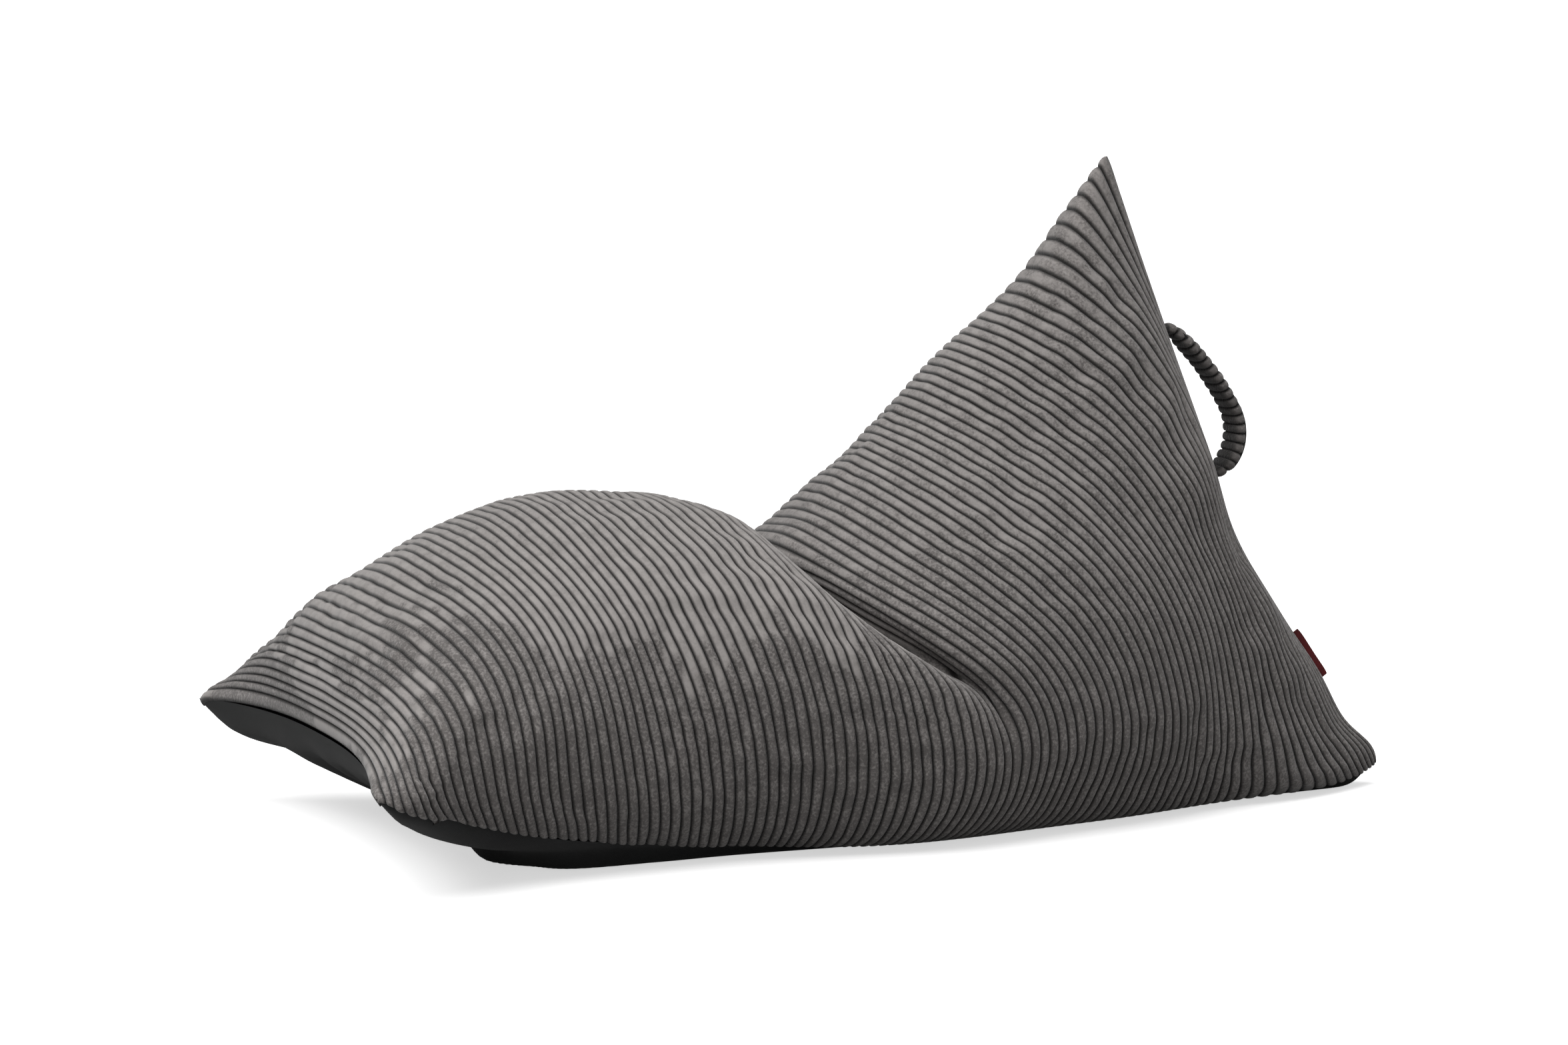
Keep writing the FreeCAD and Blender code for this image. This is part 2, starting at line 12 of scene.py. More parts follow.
import bpy
import numpy as np
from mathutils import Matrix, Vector


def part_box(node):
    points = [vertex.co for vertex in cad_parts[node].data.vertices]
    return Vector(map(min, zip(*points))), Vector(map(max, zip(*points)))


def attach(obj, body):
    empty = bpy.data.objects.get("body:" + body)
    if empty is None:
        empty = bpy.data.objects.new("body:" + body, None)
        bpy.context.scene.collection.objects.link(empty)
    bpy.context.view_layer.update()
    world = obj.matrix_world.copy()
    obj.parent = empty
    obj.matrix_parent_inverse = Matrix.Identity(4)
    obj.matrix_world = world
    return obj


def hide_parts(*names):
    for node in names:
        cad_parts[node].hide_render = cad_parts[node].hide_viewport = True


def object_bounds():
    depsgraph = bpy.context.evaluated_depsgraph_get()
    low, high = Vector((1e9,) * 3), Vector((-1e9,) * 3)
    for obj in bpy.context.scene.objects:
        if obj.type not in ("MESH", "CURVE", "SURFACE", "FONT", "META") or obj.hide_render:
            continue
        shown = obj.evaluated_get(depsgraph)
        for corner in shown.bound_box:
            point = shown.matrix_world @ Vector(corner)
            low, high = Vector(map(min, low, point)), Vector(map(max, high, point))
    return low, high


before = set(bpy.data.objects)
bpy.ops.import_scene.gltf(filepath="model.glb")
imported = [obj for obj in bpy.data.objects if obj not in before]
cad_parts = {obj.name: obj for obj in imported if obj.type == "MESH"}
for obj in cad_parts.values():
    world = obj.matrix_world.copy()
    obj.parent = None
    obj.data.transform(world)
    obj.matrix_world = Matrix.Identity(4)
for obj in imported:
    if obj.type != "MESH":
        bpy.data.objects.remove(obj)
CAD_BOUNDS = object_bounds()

logging.basicConfig(level=logging.INFO, format="%(levelname)s %(name)s: %(message)s")
log = logging.getLogger("bean_bag")

MM = 0.001
Colour = tuple[float, float, float]
Array = np.ndarray
Piece = bpy.types.Object
Socket = bpy.types.NodeSocket


# ------------------------------------------------------------------------------ small maths
def smoothstep(low: float, high: float, value: Array) -> Array:
    """Cubic ramp from 0 at low to 1 at high.

    Args:
        low: where the ramp starts.
        high: where it ends.
        value: numbers to place on the ramp.

    Returns:
        The ramp's height at each value, 3t squared less 2t cubed of its share t of the way.
    """
    share = np.clip((value - low) / (high - low), 0.0, 1.0)
    return share * share * (3.0 - 2.0 * share)


@dataclass(frozen=True)
class Bump:
    """Bell curve: its size times exp of minus the squared distance from its centre in widths."""

    size: float
    centre: float
    width: float

    def at(self, value: Array) -> Array:
        """The curve's height at each value."""
        return self.size * np.exp(-(((value - self.centre) / self.width) ** 2))


def soft_limit(value: Array, limit: float, soft: float) -> Array:
    """Smooth minimum of a value and a limit, rounded over about the soft width."""
    return limit - soft * np.logaddexp(0.0, (limit - value) / soft)


def signed_power(value: Array, power: Array | float) -> Array:
    """Power that keeps the sign, for a superellipse."""
    return np.sign(value) * np.abs(value) ** power


def unit(vectors: Array) -> Array:
    """Vectors along the last axis, at length 1."""
    return vectors / np.maximum(np.linalg.norm(vectors, axis=-1, keepdims=True), 1e-12)


def run_length(line: Array) -> Array:
    """Distance of each point of a line from its first one, along the line."""
    return np.concatenate([[0], np.cumsum(np.linalg.norm(np.diff(line, axis=0), axis=-1))])


def grid_normals(points: Array) -> Array:
    """Unit normals of a grid whose last column joins the first.

    Args:
        points: rows x columns x 3 places.

    Returns:
        rows x columns x 3 normals, from the cross product of the grid's two directions.
    """
    around = (np.roll(points, -1, axis=1) - np.roll(points, 1, axis=1)) / 2
    return unit(np.cross(around, np.gradient(points, axis=0)))


def wave_noise(a: Array, b: Array, seed: int, waves: int = 14) -> Array:
    """Smooth noise as a sum of plane sine waves with seeded directions and phases.

    Args:
        a: first coordinate, in wavelengths.
        b: second coordinate, in wavelengths.
        seed: chooses the directions and phases.
        waves: how many waves are added.

    Returns:
        Noise of about unit spread: the sum of sines over the root of half their number.
    """
    rng = np.random.default_rng(seed)
    total = np.zeros(np.broadcast(a, b).shape)
    for _ in range(waves):
        turn, phase, size = rng.uniform(0, 2 * math.pi), rng.uniform(0, 2 * math.pi), rng.uniform(0.6, 1.5)
        total += np.sin(2 * math.pi * size * (a * math.cos(turn) + b * math.sin(turn)) + phase)
    return total / math.sqrt(waves / 2)


@dataclass(frozen=True)
class Ripple:
    """Smooth noise over the cloth: its wavelengths in ribs and in metres along them, and its seed."""

    ribs: float
    metres: float
    seed: int

    def at(self, rib: Array, run: Array) -> Array:
        """The noise at rib numbers and metres along the ribs."""
        return wave_noise(rib / self.ribs, run / self.metres, self.seed)


# ------------------------------------------------------------------------------ shape of the bag
OFFSETS = np.array([
    # share along, crest y z, keel y z, half width, bow, lean, upper and lower roundness
    (0.00, -0.468, 0.177, -0.468, 0.167, 0.474, 0.000, 0.000, 0.82, 0.70),
    (0.02, -0.472, 0.222, -0.437, 0.140, 0.488, 0.003, 0.003, 0.89, 0.71),
    (0.05, -0.471, 0.285, -0.395, 0.100, 0.464, 0.006, 0.006, 0.98, 0.72),
    (0.12, -0.418, 0.396, -0.320, 0.022, 0.418, 0.004, 0.009, 1.10, 0.76),
    (0.22, -0.321, 0.472, -0.236, -0.038, 0.378, 0.009, 0.004, 1.00, 0.80),
    (0.34, -0.221, 0.501, -0.146, -0.044, 0.363, 0.019, 0.000, 0.90, 0.74),
    (0.44, -0.118, 0.467, -0.062, -0.044, 0.365, 0.038, -0.004, 0.88, 0.64),
    (0.52, -0.088, 0.405, 0.013, -0.044, 0.354, 0.069, -0.011, 0.94, 0.60),
    (0.60, -0.036, 0.490, 0.100, -0.044, 0.313, 0.076, -0.011, 0.98, 0.57),
    (0.70, 0.031, 0.606, 0.218, -0.038, 0.258, 0.074, -0.005, 0.97, 0.57),
    (0.80, 0.097, 0.724, 0.335, -0.028, 0.183, 0.062, 0.001, 0.86, 0.63),
    (0.90, 0.161, 0.823, 0.451, -0.010, 0.117, 0.024, 0.009, 0.66, 0.70),
    (1.00, 0.235, 1.000, 0.500, 0.025, 0.004, -0.026, 0.002, 0.50, 0.76),
])


@dataclass(frozen=True)
class BagShape:
    """The bag's smooth skin, as a run of closed sections from the front seam to the rear seam."""

    length: float
    width: float
    height: float
    ear_forward: float = 0.032
    ear_drop: float = 0.036
    ear_curl: float = 0.021
    ear_tip: float = 0.013
    ear_reach: float = 0.22
    ear_power: float = 2.5
    ear_first: float = 0.022
    seam_start: float = 90.0
    seam_quick: float = 27.0
    seam_slow: float = 63.0
    seam_reach: float = 0.03
    floor_softness: float = 0.012
    corner_height: float = 0.106
    knob_inset: float = 0.062
    knob_radius: float = 0.040
    knob_way: tuple[float, float, float] = (-0.80, 0.60, 0.0)
    knob_zone: tuple[float, float] = (1.2, 3.2)
    knob_ahead: tuple[float, float] = (-0.6, 1.0)
    knob_give: float = 0.15
    tip_lift: float = 0.008
    tip_zone: float = 0.86
    tip_height: float = 0.09
    heel: Bump = Bump(0.012, 0.050, 0.024)
    heel_top: Bump = Bump(0.007, 0.145, 0.045)
    heel_zone: float = 0.90
    rear_dent: Bump = Bump(0.014, 0.41, 0.10)
    dent_zone: float = 0.76
    tip_round: float = 0.0035
    tip_margin: float = 0.001
    peak_round: float = 0.007
    peak_margin: float = 0.0005

    def offsets(self, u: Array) -> Array:
        """The nine offsets at stations u, each on a natural cubic through the table.

        Args:
            u: shares along the bag.

        Returns:
            Nine arrays like u.
        """
        x, y = OFFSETS[:, 0], OFFSETS[:, 1:]
        count = len(x)
        gap = np.diff(x)
        slope = np.diff(y, axis=0) / gap[:, None]
        system, right = np.eye(count), np.zeros_like(y)
        for i in range(1, count - 1):
            system[i, i - 1:i + 2] = gap[i - 1], 2 * (gap[i - 1] + gap[i]), gap[i]
            right[i] = 6 * (slope[i] - slope[i - 1])
        curve = np.linalg.solve(system, right)
        i = np.clip(np.searchsorted(x, u, side="right") - 1, 0, count - 2)
        b = ((u - x[i]) / gap[i])[..., None]
        a = 1 - b
        bend = (a ** 3 - a) * curve[i] + (b ** 3 - b) * curve[i + 1]
        values = a * y[i] + b * y[i + 1] + bend * (gap[i] ** 2 / 6)[..., None]
        return np.moveaxis(values, -1, 0)

    def seam_angle(self, u: Array) -> Array:
        """Angle of the seam between corduroy and base cloth: 90 degrees at the front, 180 at the rear."""
        quick = self.seam_quick * (1 - np.exp(-u / self.seam_reach))
        return np.radians(self.seam_start + quick + self.seam_slow * u)

    def skin(self, u: Array, angle: Array) -> Array:
        """Points of the skin: a superellipse between crest and keel, bowed to the rear.

        Args:
            u: shares along the bag.
            angle: angles round the section from the crest, positive towards +X.

        Returns:
            Places, with a last axis of 3.
        """
        cy, cz, ky, kz, half, bow, lean, upper, lower = self.offsets(u)
        up_y, up_z = (cy - ky) * self.length, (cz - kz) * self.height
        rise = np.hypot(up_y, up_z)
        c, s = np.cos(angle), np.sin(angle)
        power = np.where(c >= 0, upper, lower)
        x = half * self.width * signed_power(s, power)
        share = 0.5 + 0.5 * signed_power(c, power)
        push = self.length * 4 * share * (1 - share) * (bow + 4 * lean * (2 * share - 1))
        fade = 1 - smoothstep(0, self.ear_reach, u)
        reach = fade * (np.abs(x) / (self.width / 2)) ** self.ear_power
        first = reach * np.exp(-((u / self.ear_first) ** 2))
        y = ky * self.length + up_y * share + push * up_z / rise
        y = y - self.length * (self.ear_forward * reach + self.ear_tip * first)
        z = kz * self.height + up_z * share - push * up_y / rise
        z = z - self.height * (self.ear_drop * reach - self.ear_curl * first)
        soft = self.floor_softness
        z = soft * np.logaddexp(0.0, z / soft)
        z = z + self.tip_lift * smoothstep(self.tip_zone, 1.0, u) * (1 - smoothstep(0.0, self.tip_height, z))
        y = y + (self.heel.at(z) + self.heel_top.at(z)) * smoothstep(self.heel_zone, 1.0, u)
        y = y - smoothstep(self.dent_zone, 1.0, u) * self.rear_dent.at(z / self.height)
        y = soft_limit(y, self.length / 2 - self.tip_margin, self.tip_round)
        z = soft_limit(z, self.height - self.peak_margin, self.peak_round)
        return self.blunt(np.stack(np.broadcast_arrays(x, y, z), axis=-1))

    def blunt(self, points: Array) -> Array:
        """Rounds the two front corners into small knobs.

        Beyond a corner's centre, a point's distance from it is drawn in to the knob's radius.
        """
        mirror = np.sign(points[..., :1]) * np.array([1.0, 0, 0]) + np.array([0, 1.0, 1.0])
        tip = np.array([self.width / 2, -self.length / 2, self.corner_height])
        inwards = np.array(self.knob_way)
        centre = tip + unit(inwards) * self.knob_inset
        away = points * mirror - centre
        reach = np.linalg.norm(away, axis=-1, keepdims=True)
        close, far = (times * self.knob_radius for times in self.knob_zone)
        ahead = smoothstep(*self.knob_ahead, (away @ (-inwards))[..., None] / np.maximum(reach, 1e-9))
        beyond = np.maximum(reach - self.knob_radius, 0)
        drawn = np.minimum(reach, self.knob_radius + self.knob_give * beyond)
        share = (1 - smoothstep(close, far, reach)) * ahead
        away = away * ((1 - share) + share * drawn / np.maximum(reach, 1e-9))
        return (centre + away) * mirror

    def rear_seam(self, share: float) -> Array:
        """Point of the upright rear seam, share 0 at the tip and 1 at the peak."""
        upper, lower = OFFSETS[-1, 8:]
        power = upper if share >= 0.5 else lower
        angle = math.acos(math.copysign(abs(2 * share - 1) ** (1 / power), 2 * share - 1))
        point = self.skin(np.ones(1), np.array([angle]))[0]
        point[0] = 0.0
        return point

    def seam_frame(self, low_share: float, high_share: float) -> tuple[Array, float, Array, Array]:
        """A stretch of the rear seam.

        Args:
            low_share: share of its lower end.
            high_share: share of its upper end.

        Returns:
            Its upper end, its length, the way down it and the way out of the bag.
        """
        top, low = self.rear_seam(high_share), self.rear_seam(low_share)
        span = float(np.linalg.norm(low - top))
        down = (low - top) / span
        return top, span, down, np.array([0.0, -down[2], down[1]])


@dataclass(frozen=True)
class Crease:
    """The fold between the seat and the backrest, which swallows the cloth that doesn't show."""

    start: float = 0.395
    end: float = 0.575
    at_crest: float = 0.520
    at_flank: float = 0.536
    half_width: float = 0.0135
    run_out: float = 2.06
    least: float = 0.010
    pinch: float = 1.15
    pinch_width: float = 1.7
    pinch_depth: float = 0.045
    tuck: float = 0.55
    measure_angle: float = 1.83
    deepest: float = 0.11
    halvings: int = 18
    smoothing: int = 43
    valley_power: float = 1.5
    front_lip: Bump = Bump(1.0, 2.3, 1.3)
    rear_lip: Bump = Bump(0.7, -2.5, 1.5)
    lip_lift: float = 0.10
    fade_zone: tuple[float, float] = (0.72, 1.03)

    def centre(self, angle: Array) -> Array:
        """Station of the bottom of the fold at each angle round the bag."""
        share = np.clip(np.abs(angle) / self.run_out, 0, 1)
        return self.at_crest + (self.at_flank - self.at_crest) * share

    def fade(self, angle: Array) -> Array:
        """1 at the crest, 0 where the fold runs out on the flanks."""
        begin, end = (share * self.run_out for share in self.fade_zone)
        return 1 - smoothstep(begin, end, np.abs(angle))


@dataclass
class BagGrid:
    """The closed grid that every cloth piece of the bag is cut from."""

    shape: BagShape
    crease: Crease = field(default_factory=Crease)
    pitch: float = 13.4 * MM
    cover_columns: int = 280
    base_columns: int = 72
    samples: int = 1100
    even_until: float = 0.98
    near_hem: tuple[float, ...] = (0.9845, 0.9885, 0.9920, 0.9950, 0.9975, 1.0)
    crowding: float = 1.7

    def columns(self) -> Array:
        """Column places: -1 to 1 over the cover, then 1 to 3 round under the base, not repeating -1."""
        close = np.array(self.near_hem)
        cover = np.linspace(-self.even_until, self.even_until, self.cover_columns + 1)
        base = np.linspace(1, 3, self.base_columns + 1)[1:-1]
        return np.concatenate([-close[::-1], cover, close, base])

    def angles(self, u: Array, column: Array) -> Array:
        """Angle round the section at stations u and column places.

        Over the cover the angle is the seam's angle times the column's place, with closer columns
        just past the widest line, and under the base it goes on from one seam to the other.
        """
        seam = self.shape.seam_angle(u)
        even = np.abs(column) * seam
        room = np.maximum(seam - math.pi / 2, 1e-6)
        past = np.maximum(even - math.pi / 2, 0)
        over = np.minimum(even, math.pi / 2) + room * (past / room) ** self.crowding
        under = seam + (column - 1) * (math.pi - seam)
        return np.where(column <= 1, np.sign(column) * over, under)

    def fold_depths(self, u: Array, points: Array, moves: Array) -> Array:
        """How deep each column's fold goes, so that every column holds as much cloth as the flank.

        Args:
            u: stations of the points' rows.
            points: samples x columns x 3 places.
            moves: how each point moves for one metre of depth.

        Returns:
            A depth for each column, found by halving and evened out over its neighbours.
        """
        crease = self.crease
        inside = (u >= crease.start) & (u <= crease.end)
        zone, moves = points[inside], moves[inside]
        flank = self.shape.skin(u[inside], np.full(inside.sum(), crease.measure_angle))
        target = np.linalg.norm(np.diff(flank, axis=0), axis=-1).sum()
        columns = points.shape[1]
        low, high = np.zeros(columns), np.full(columns, crease.deepest)
        for _ in range(crease.halvings):
            middle = (low + high) / 2
            trial = zone + moves * middle[:, None]
            short = np.linalg.norm(np.diff(trial, axis=0), axis=-1).sum(axis=0) < target
            low, high = np.where(short, middle, low), np.where(short, high, middle)
        spread = np.hanning(crease.smoothing) / np.hanning(crease.smoothing).sum()
        ends = crease.smoothing // 2
        return np.convolve(np.concatenate([low[-ends:], low, low[:ends]]), spread, "valid")

    def folded(self, u: Array, column: Array) -> Array:
        """Skin with the crease folded in, deep enough to swallow the spare cloth.

        The fold is a valley along the crease that is tucked under the backrest, closed by a pinch
        along the cloth, with a low lip on either side.

        Args:
            u: stations, one per sample row.
            column: column places.

        Returns:
            samples x columns x 3 places.
        """
        crease = self.crease
        uu, cc = np.meshgrid(u, column, indexing="ij")
        angle = self.angles(uu, cc)
        points = self.shape.skin(uu, angle)
        wrapped = np.where(angle > math.pi, angle - 2 * math.pi, angle)
        normal = grid_normals(points)
        step = np.gradient(points, axis=0)
        along = unit(step)
        offset = (uu - crease.centre(wrapped)) / crease.half_width
        valley = np.exp(-np.abs(offset) ** crease.valley_power)
        way = (along * crease.tuck - normal) * valley[..., None]
        depth = np.hypot(self.fold_depths(u, points, way), crease.least) * crease.fade(wrapped)
        metres = np.linalg.norm(step, axis=-1) / np.gradient(u)[:, None]
        shut = crease.pinch * np.exp(-(np.abs(offset) / crease.pinch_width) ** 3)
        closing = -shut * depth / (depth + crease.pinch_depth) * offset * crease.half_width * metres
        lift = crease.lip_lift * depth * (crease.front_lip.at(offset) + crease.rear_lip.at(offset))
        return points + way * depth[..., None] + normal * lift[..., None] + along * closing[..., None]

    def build(self, rows_per_rib: tuple[float, ...]) -> "ClothGrid":
        """Lays the rows along the ribs of the cloth.

        Args:
            rows_per_rib: places of the rows within one rib, 0 to below 1.

        Returns:
            The grid with its rib numbers and lengths.
        """
        u = np.linspace(0, 1, self.samples)
        column = self.columns()
        points = self.folded(u, column)
        flank = self.shape.skin(u, np.full(len(u), self.crease.measure_angle))
        cloth = run_length(flank)
        ribs = int(round(cloth[-1] / self.pitch))
        inner = np.add.outer(np.arange(ribs), np.array(rows_per_rib)).ravel()
        rib = np.append(inner, ribs)
        wanted = rib / ribs * cloth[-1]
        first, last = np.searchsorted(u, [self.crease.start, self.crease.end])
        rows = np.empty((len(rib), len(column), 3))
        for c in range(len(column)):
            path = points[:, c]
            run = run_length(path[first:last + 1])
            place = cloth.copy()
            place[first:last + 1] = cloth[first] + run / run[-1] * (cloth[last] - cloth[first])
            for axis in range(3):
                rows[:, c, axis] = np.interp(wanted, place, path[:, axis])
        station = np.interp(wanted, cloth, u)
        return ClothGrid(rows, rib, station, column, ribs, int((column <= 1).sum()), self.crease.at_flank)


@dataclass
class ClothGrid:
    """A grid of places with the rib number of each row."""

    points: Array
    rib: Array
    station: Array
    column: Array
    ribs: int
    cover_count: int
    fold: float


# ------------------------------------------------------------------------------ meshes
def make_mesh(name: str, points: Array, faces: Array, smooth: bool = True) -> Piece:
    """Mesh object from arrays.

    Args:
        name: the piece's name.
        points: n x 3 places in metres.
        faces: m x 4 or m x 3 indices.
        smooth: whether it is shaded smooth.

    Returns:
        The object, linked to the scene, at the origin.
    """
    mesh = bpy.data.meshes.new(name)
    mesh.from_pydata(points.reshape(-1, 3).tolist(), [], faces.tolist())
    mesh.update()
    if smooth:
        mesh.shade_smooth()
    piece = bpy.data.objects.new(name, mesh)
    bpy.context.scene.collection.objects.link(piece)
    return piece


def grid_faces(rows: int, columns: int, closed: bool = False) -> Array:
    """Quads of a grid, wound so that a grid_normals surface faces outwards.

    Args:
        rows: rows of points.
        columns: columns of points.
        closed: whether the last column joins the first.

    Returns:
        m x 4 indices.
    """
    index = np.arange(rows * columns).reshape(rows, columns)
    right = np.roll(index, -1, axis=1) if closed else index[:, 1:]
    left = index if closed else index[:, :-1]
    quads = np.stack([left[:-1], right[:-1], right[1:], left[1:]], axis=-1)
    return quads.reshape(-1, 4)


def set_uv(piece: Piece, name: str, uv: Array) -> None:
    """Gives a mesh a UV map from one pair per vertex."""
    mesh = piece.data
    layer = mesh.uv_layers.new(name=name)
    corners = np.empty(len(mesh.loops), np.int32)
    mesh.loops.foreach_get("vertex_index", corners)
    layer.data.foreach_set("uv", uv.reshape(-1, 2)[corners].astype(np.float32).ravel())


def set_attribute(piece: Piece, name: str, values: Array) -> None:
    """Gives a mesh one number per vertex."""
    layer = piece.data.attributes.new(name, "FLOAT", "POINT")
    layer.data.foreach_set("value", values.astype(np.float32).ravel())


# ------------------------------------------------------------------------------ shader groups
class Nodes:
    """Short hand for building a node tree."""

    def __init__(self, tree: bpy.types.NodeTree) -> None:
        self.tree = tree

    def add(self, kind: str, **settings: object) -> bpy.types.Node:
        """Adds a node and sets its properties, or its inputs where the name is an input's.

        Args:
            kind: the node's type name, without the ShaderNode prefix.
            **settings: property values, or input values and sockets by name with _ for a space.

        Returns:
            The node.
        """
        node = self.tree.nodes.new("ShaderNode" + kind)
        for key, value in settings.items():
            if hasattr(node, key):
                setattr(node, key, value)
            else:
                self.feed(node, key.replace("_", " "), value)
        return node

    def feed(self, node: bpy.types.Node, name: str | int, value: object) -> None:
        """Links a socket to an input, or sets the input's own value."""
        if isinstance(value, Socket):
            self.tree.links.new(value, node.inputs[name])
        else:
            node.inputs[name].default_value = value

    def feeds(self, node: bpy.types.Node, **values: object) -> None:
        """Feeds several inputs by name, with _ for a space."""
        for name, value in values.items():
            self.feed(node, name.replace("_", " "), value)

    def relief(self, shader: bpy.types.Node, strength: float, distance: object, height: object) -> None:
        """Bumps a shader's surface by a height."""
        bump = self.add("Bump", Strength=strength, Distance=distance, Height=height)
        self.feed(shader, "Normal", bump.outputs[0])

    def math(self, operation: str, *values: object) -> Socket:
        """Result of a Math node on up to three numbers or sockets."""
        node = self.add("Math", operation=operation)
        for index, value in enumerate(values):
            self.feed(node, index, value)
        return node.outputs[0]

    def ramp(self, value: object, low: float, high: float, start: float = 0.0, end: float = 1.0) -> Socket:
        """Smooth ramp of a value from start at low to end at high."""
        node = self.add("MapRange", interpolation_type="SMOOTHSTEP")
        self.feeds(node, Value=value, From_Min=low, From_Max=high, To_Min=start, To_Max=end)
        return node.outputs["Result"]

    def mix(self, share: object, first: object, second: object) -> Socket:
        """Colour mix by a share."""
        node = self.add("Mix", data_type="RGBA")
        self.feed(node, 0, share)
        for index, value in ((6, first), (7, second)):
            self.feed(node, index, (*value, 1.0) if isinstance(value, tuple) and len(value) == 3 else value)
        return node.outputs[2]

    def scaled_noise(self, where: object, scale: object, detail: float = 2.0,
                     rough: float = 0.5) -> Socket:
        """Value of a Noise texture."""
        node = self.add("TexNoise", Vector=where, Scale=scale, Detail=detail, Roughness=rough)
        return node.outputs["Fac"]


def new_group(name: str, inputs: dict[str, float],
              outputs: tuple[str, ...]) -> tuple[bpy.types.NodeTree, Nodes, dict, bpy.types.Node]:
    """Node group with named inputs and outputs, all numbers.

    Args:
        name: the group's name.
        inputs: default of each input.
        outputs: names of the outputs.

    Returns:
        The tree, its builder, its input sockets by name and its output node.
    """
    tree = bpy.data.node_groups.new(name, "ShaderNodeTree")
    for key, value in inputs.items():
        socket = tree.interface.new_socket(key, in_out="INPUT", socket_type="NodeSocketFloat")
        socket.default_value = value
    for key in outputs:
        tree.interface.new_socket(key, in_out="OUTPUT", socket_type="NodeSocketFloat")
    source, sink = tree.nodes.new("NodeGroupInput"), tree.nodes.new("NodeGroupOutput")
    return tree, Nodes(tree), {key: source.outputs[key] for key in inputs}, sink


def grain_group() -> bpy.types.NodeTree:
    """Fine fibre grain: a speckle for the colour and a height for the bump, from two noises."""
    tree, nodes, given, sink = new_group(
        "fibre_grain", {"Scale": 700.0, "Coarseness": 0.5}, ("Speckle", "Height"))
    where = nodes.add("TexCoord").outputs["Object"]
    fine = nodes.scaled_noise(where, given["Scale"], 3.0, 0.65)
    wide = nodes.scaled_noise(where, nodes.math("MULTIPLY", given["Scale"], 0.22))
    height = nodes.add("Mix", data_type="FLOAT")
    for index, value in ((0, given["Coarseness"]), (2, fine), (3, wide)):
        nodes.feed(height, index, value)
    tree.links.new(nodes.ramp(fine, 0.32, 0.72), sink.inputs["Speckle"])
    tree.links.new(height.outputs[0], sink.inputs["Height"])
    return tree


def weave_group() -> bpy.types.NodeTree:
    """Plain weave: threads over and under, the product of two sine waves across each other."""
    tree, nodes, given, sink = new_group(
        "plain_weave", {"Threads per metre": 1400.0}, ("Height",))
    where = nodes.add("TexCoord").outputs["Object"]
    split = nodes.add("SeparateXYZ", Vector=where)
    turns = nodes.math("MULTIPLY", given["Threads per metre"], math.pi)
    side = nodes.math("ADD", split.outputs["X"], nodes.math("MULTIPLY", split.outputs["Z"], 0.5))
    along = nodes.math("SUBTRACT", split.outputs["Y"], nodes.math("MULTIPLY", split.outputs["Z"], 0.5))
    product = nodes.math("MULTIPLY", nodes.math("SINE", nodes.math("MULTIPLY", side, turns)),
                         nodes.math("SINE", nodes.math("MULTIPLY", along, turns)))
    tree.links.new(nodes.math("MULTIPLY_ADD", product, 0.5, 0.5), sink.inputs["Height"])
    return tree


class Group(Enum):
    """Shader groups shared by the finishes."""

    GRAIN = "fibre_grain"
    WEAVE = "plain_weave"

    def place(self, nodes: Nodes, **values: object) -> bpy.types.Node:
        """Puts the group into a material with its own values."""
        tree = bpy.data.node_groups.get(self.value)
        if tree is None:
            tree = grain_group() if self is Group.GRAIN else weave_group()
        node = nodes.tree.nodes.new("ShaderNodeGroup")
        node.node_tree = tree
        nodes.feeds(node, **values)
        return node


def new_material(name: str) -> tuple[bpy.types.Material, Nodes, bpy.types.Node]:
    """Material with a Principled shader and its output.

    Args:
        name: the finish's name.

    Returns:
        The material, its node builder and the shader node.
    """
    material = bpy.data.materials.new(f"{name}_finish")
    material.use_nodes = True
    material.node_tree.nodes.clear()
    nodes = Nodes(material.node_tree)
    shader = nodes.add("BsdfPrincipled")
    nodes.add("OutputMaterial", Surface=shader.outputs[0])
    return material, nodes, shader


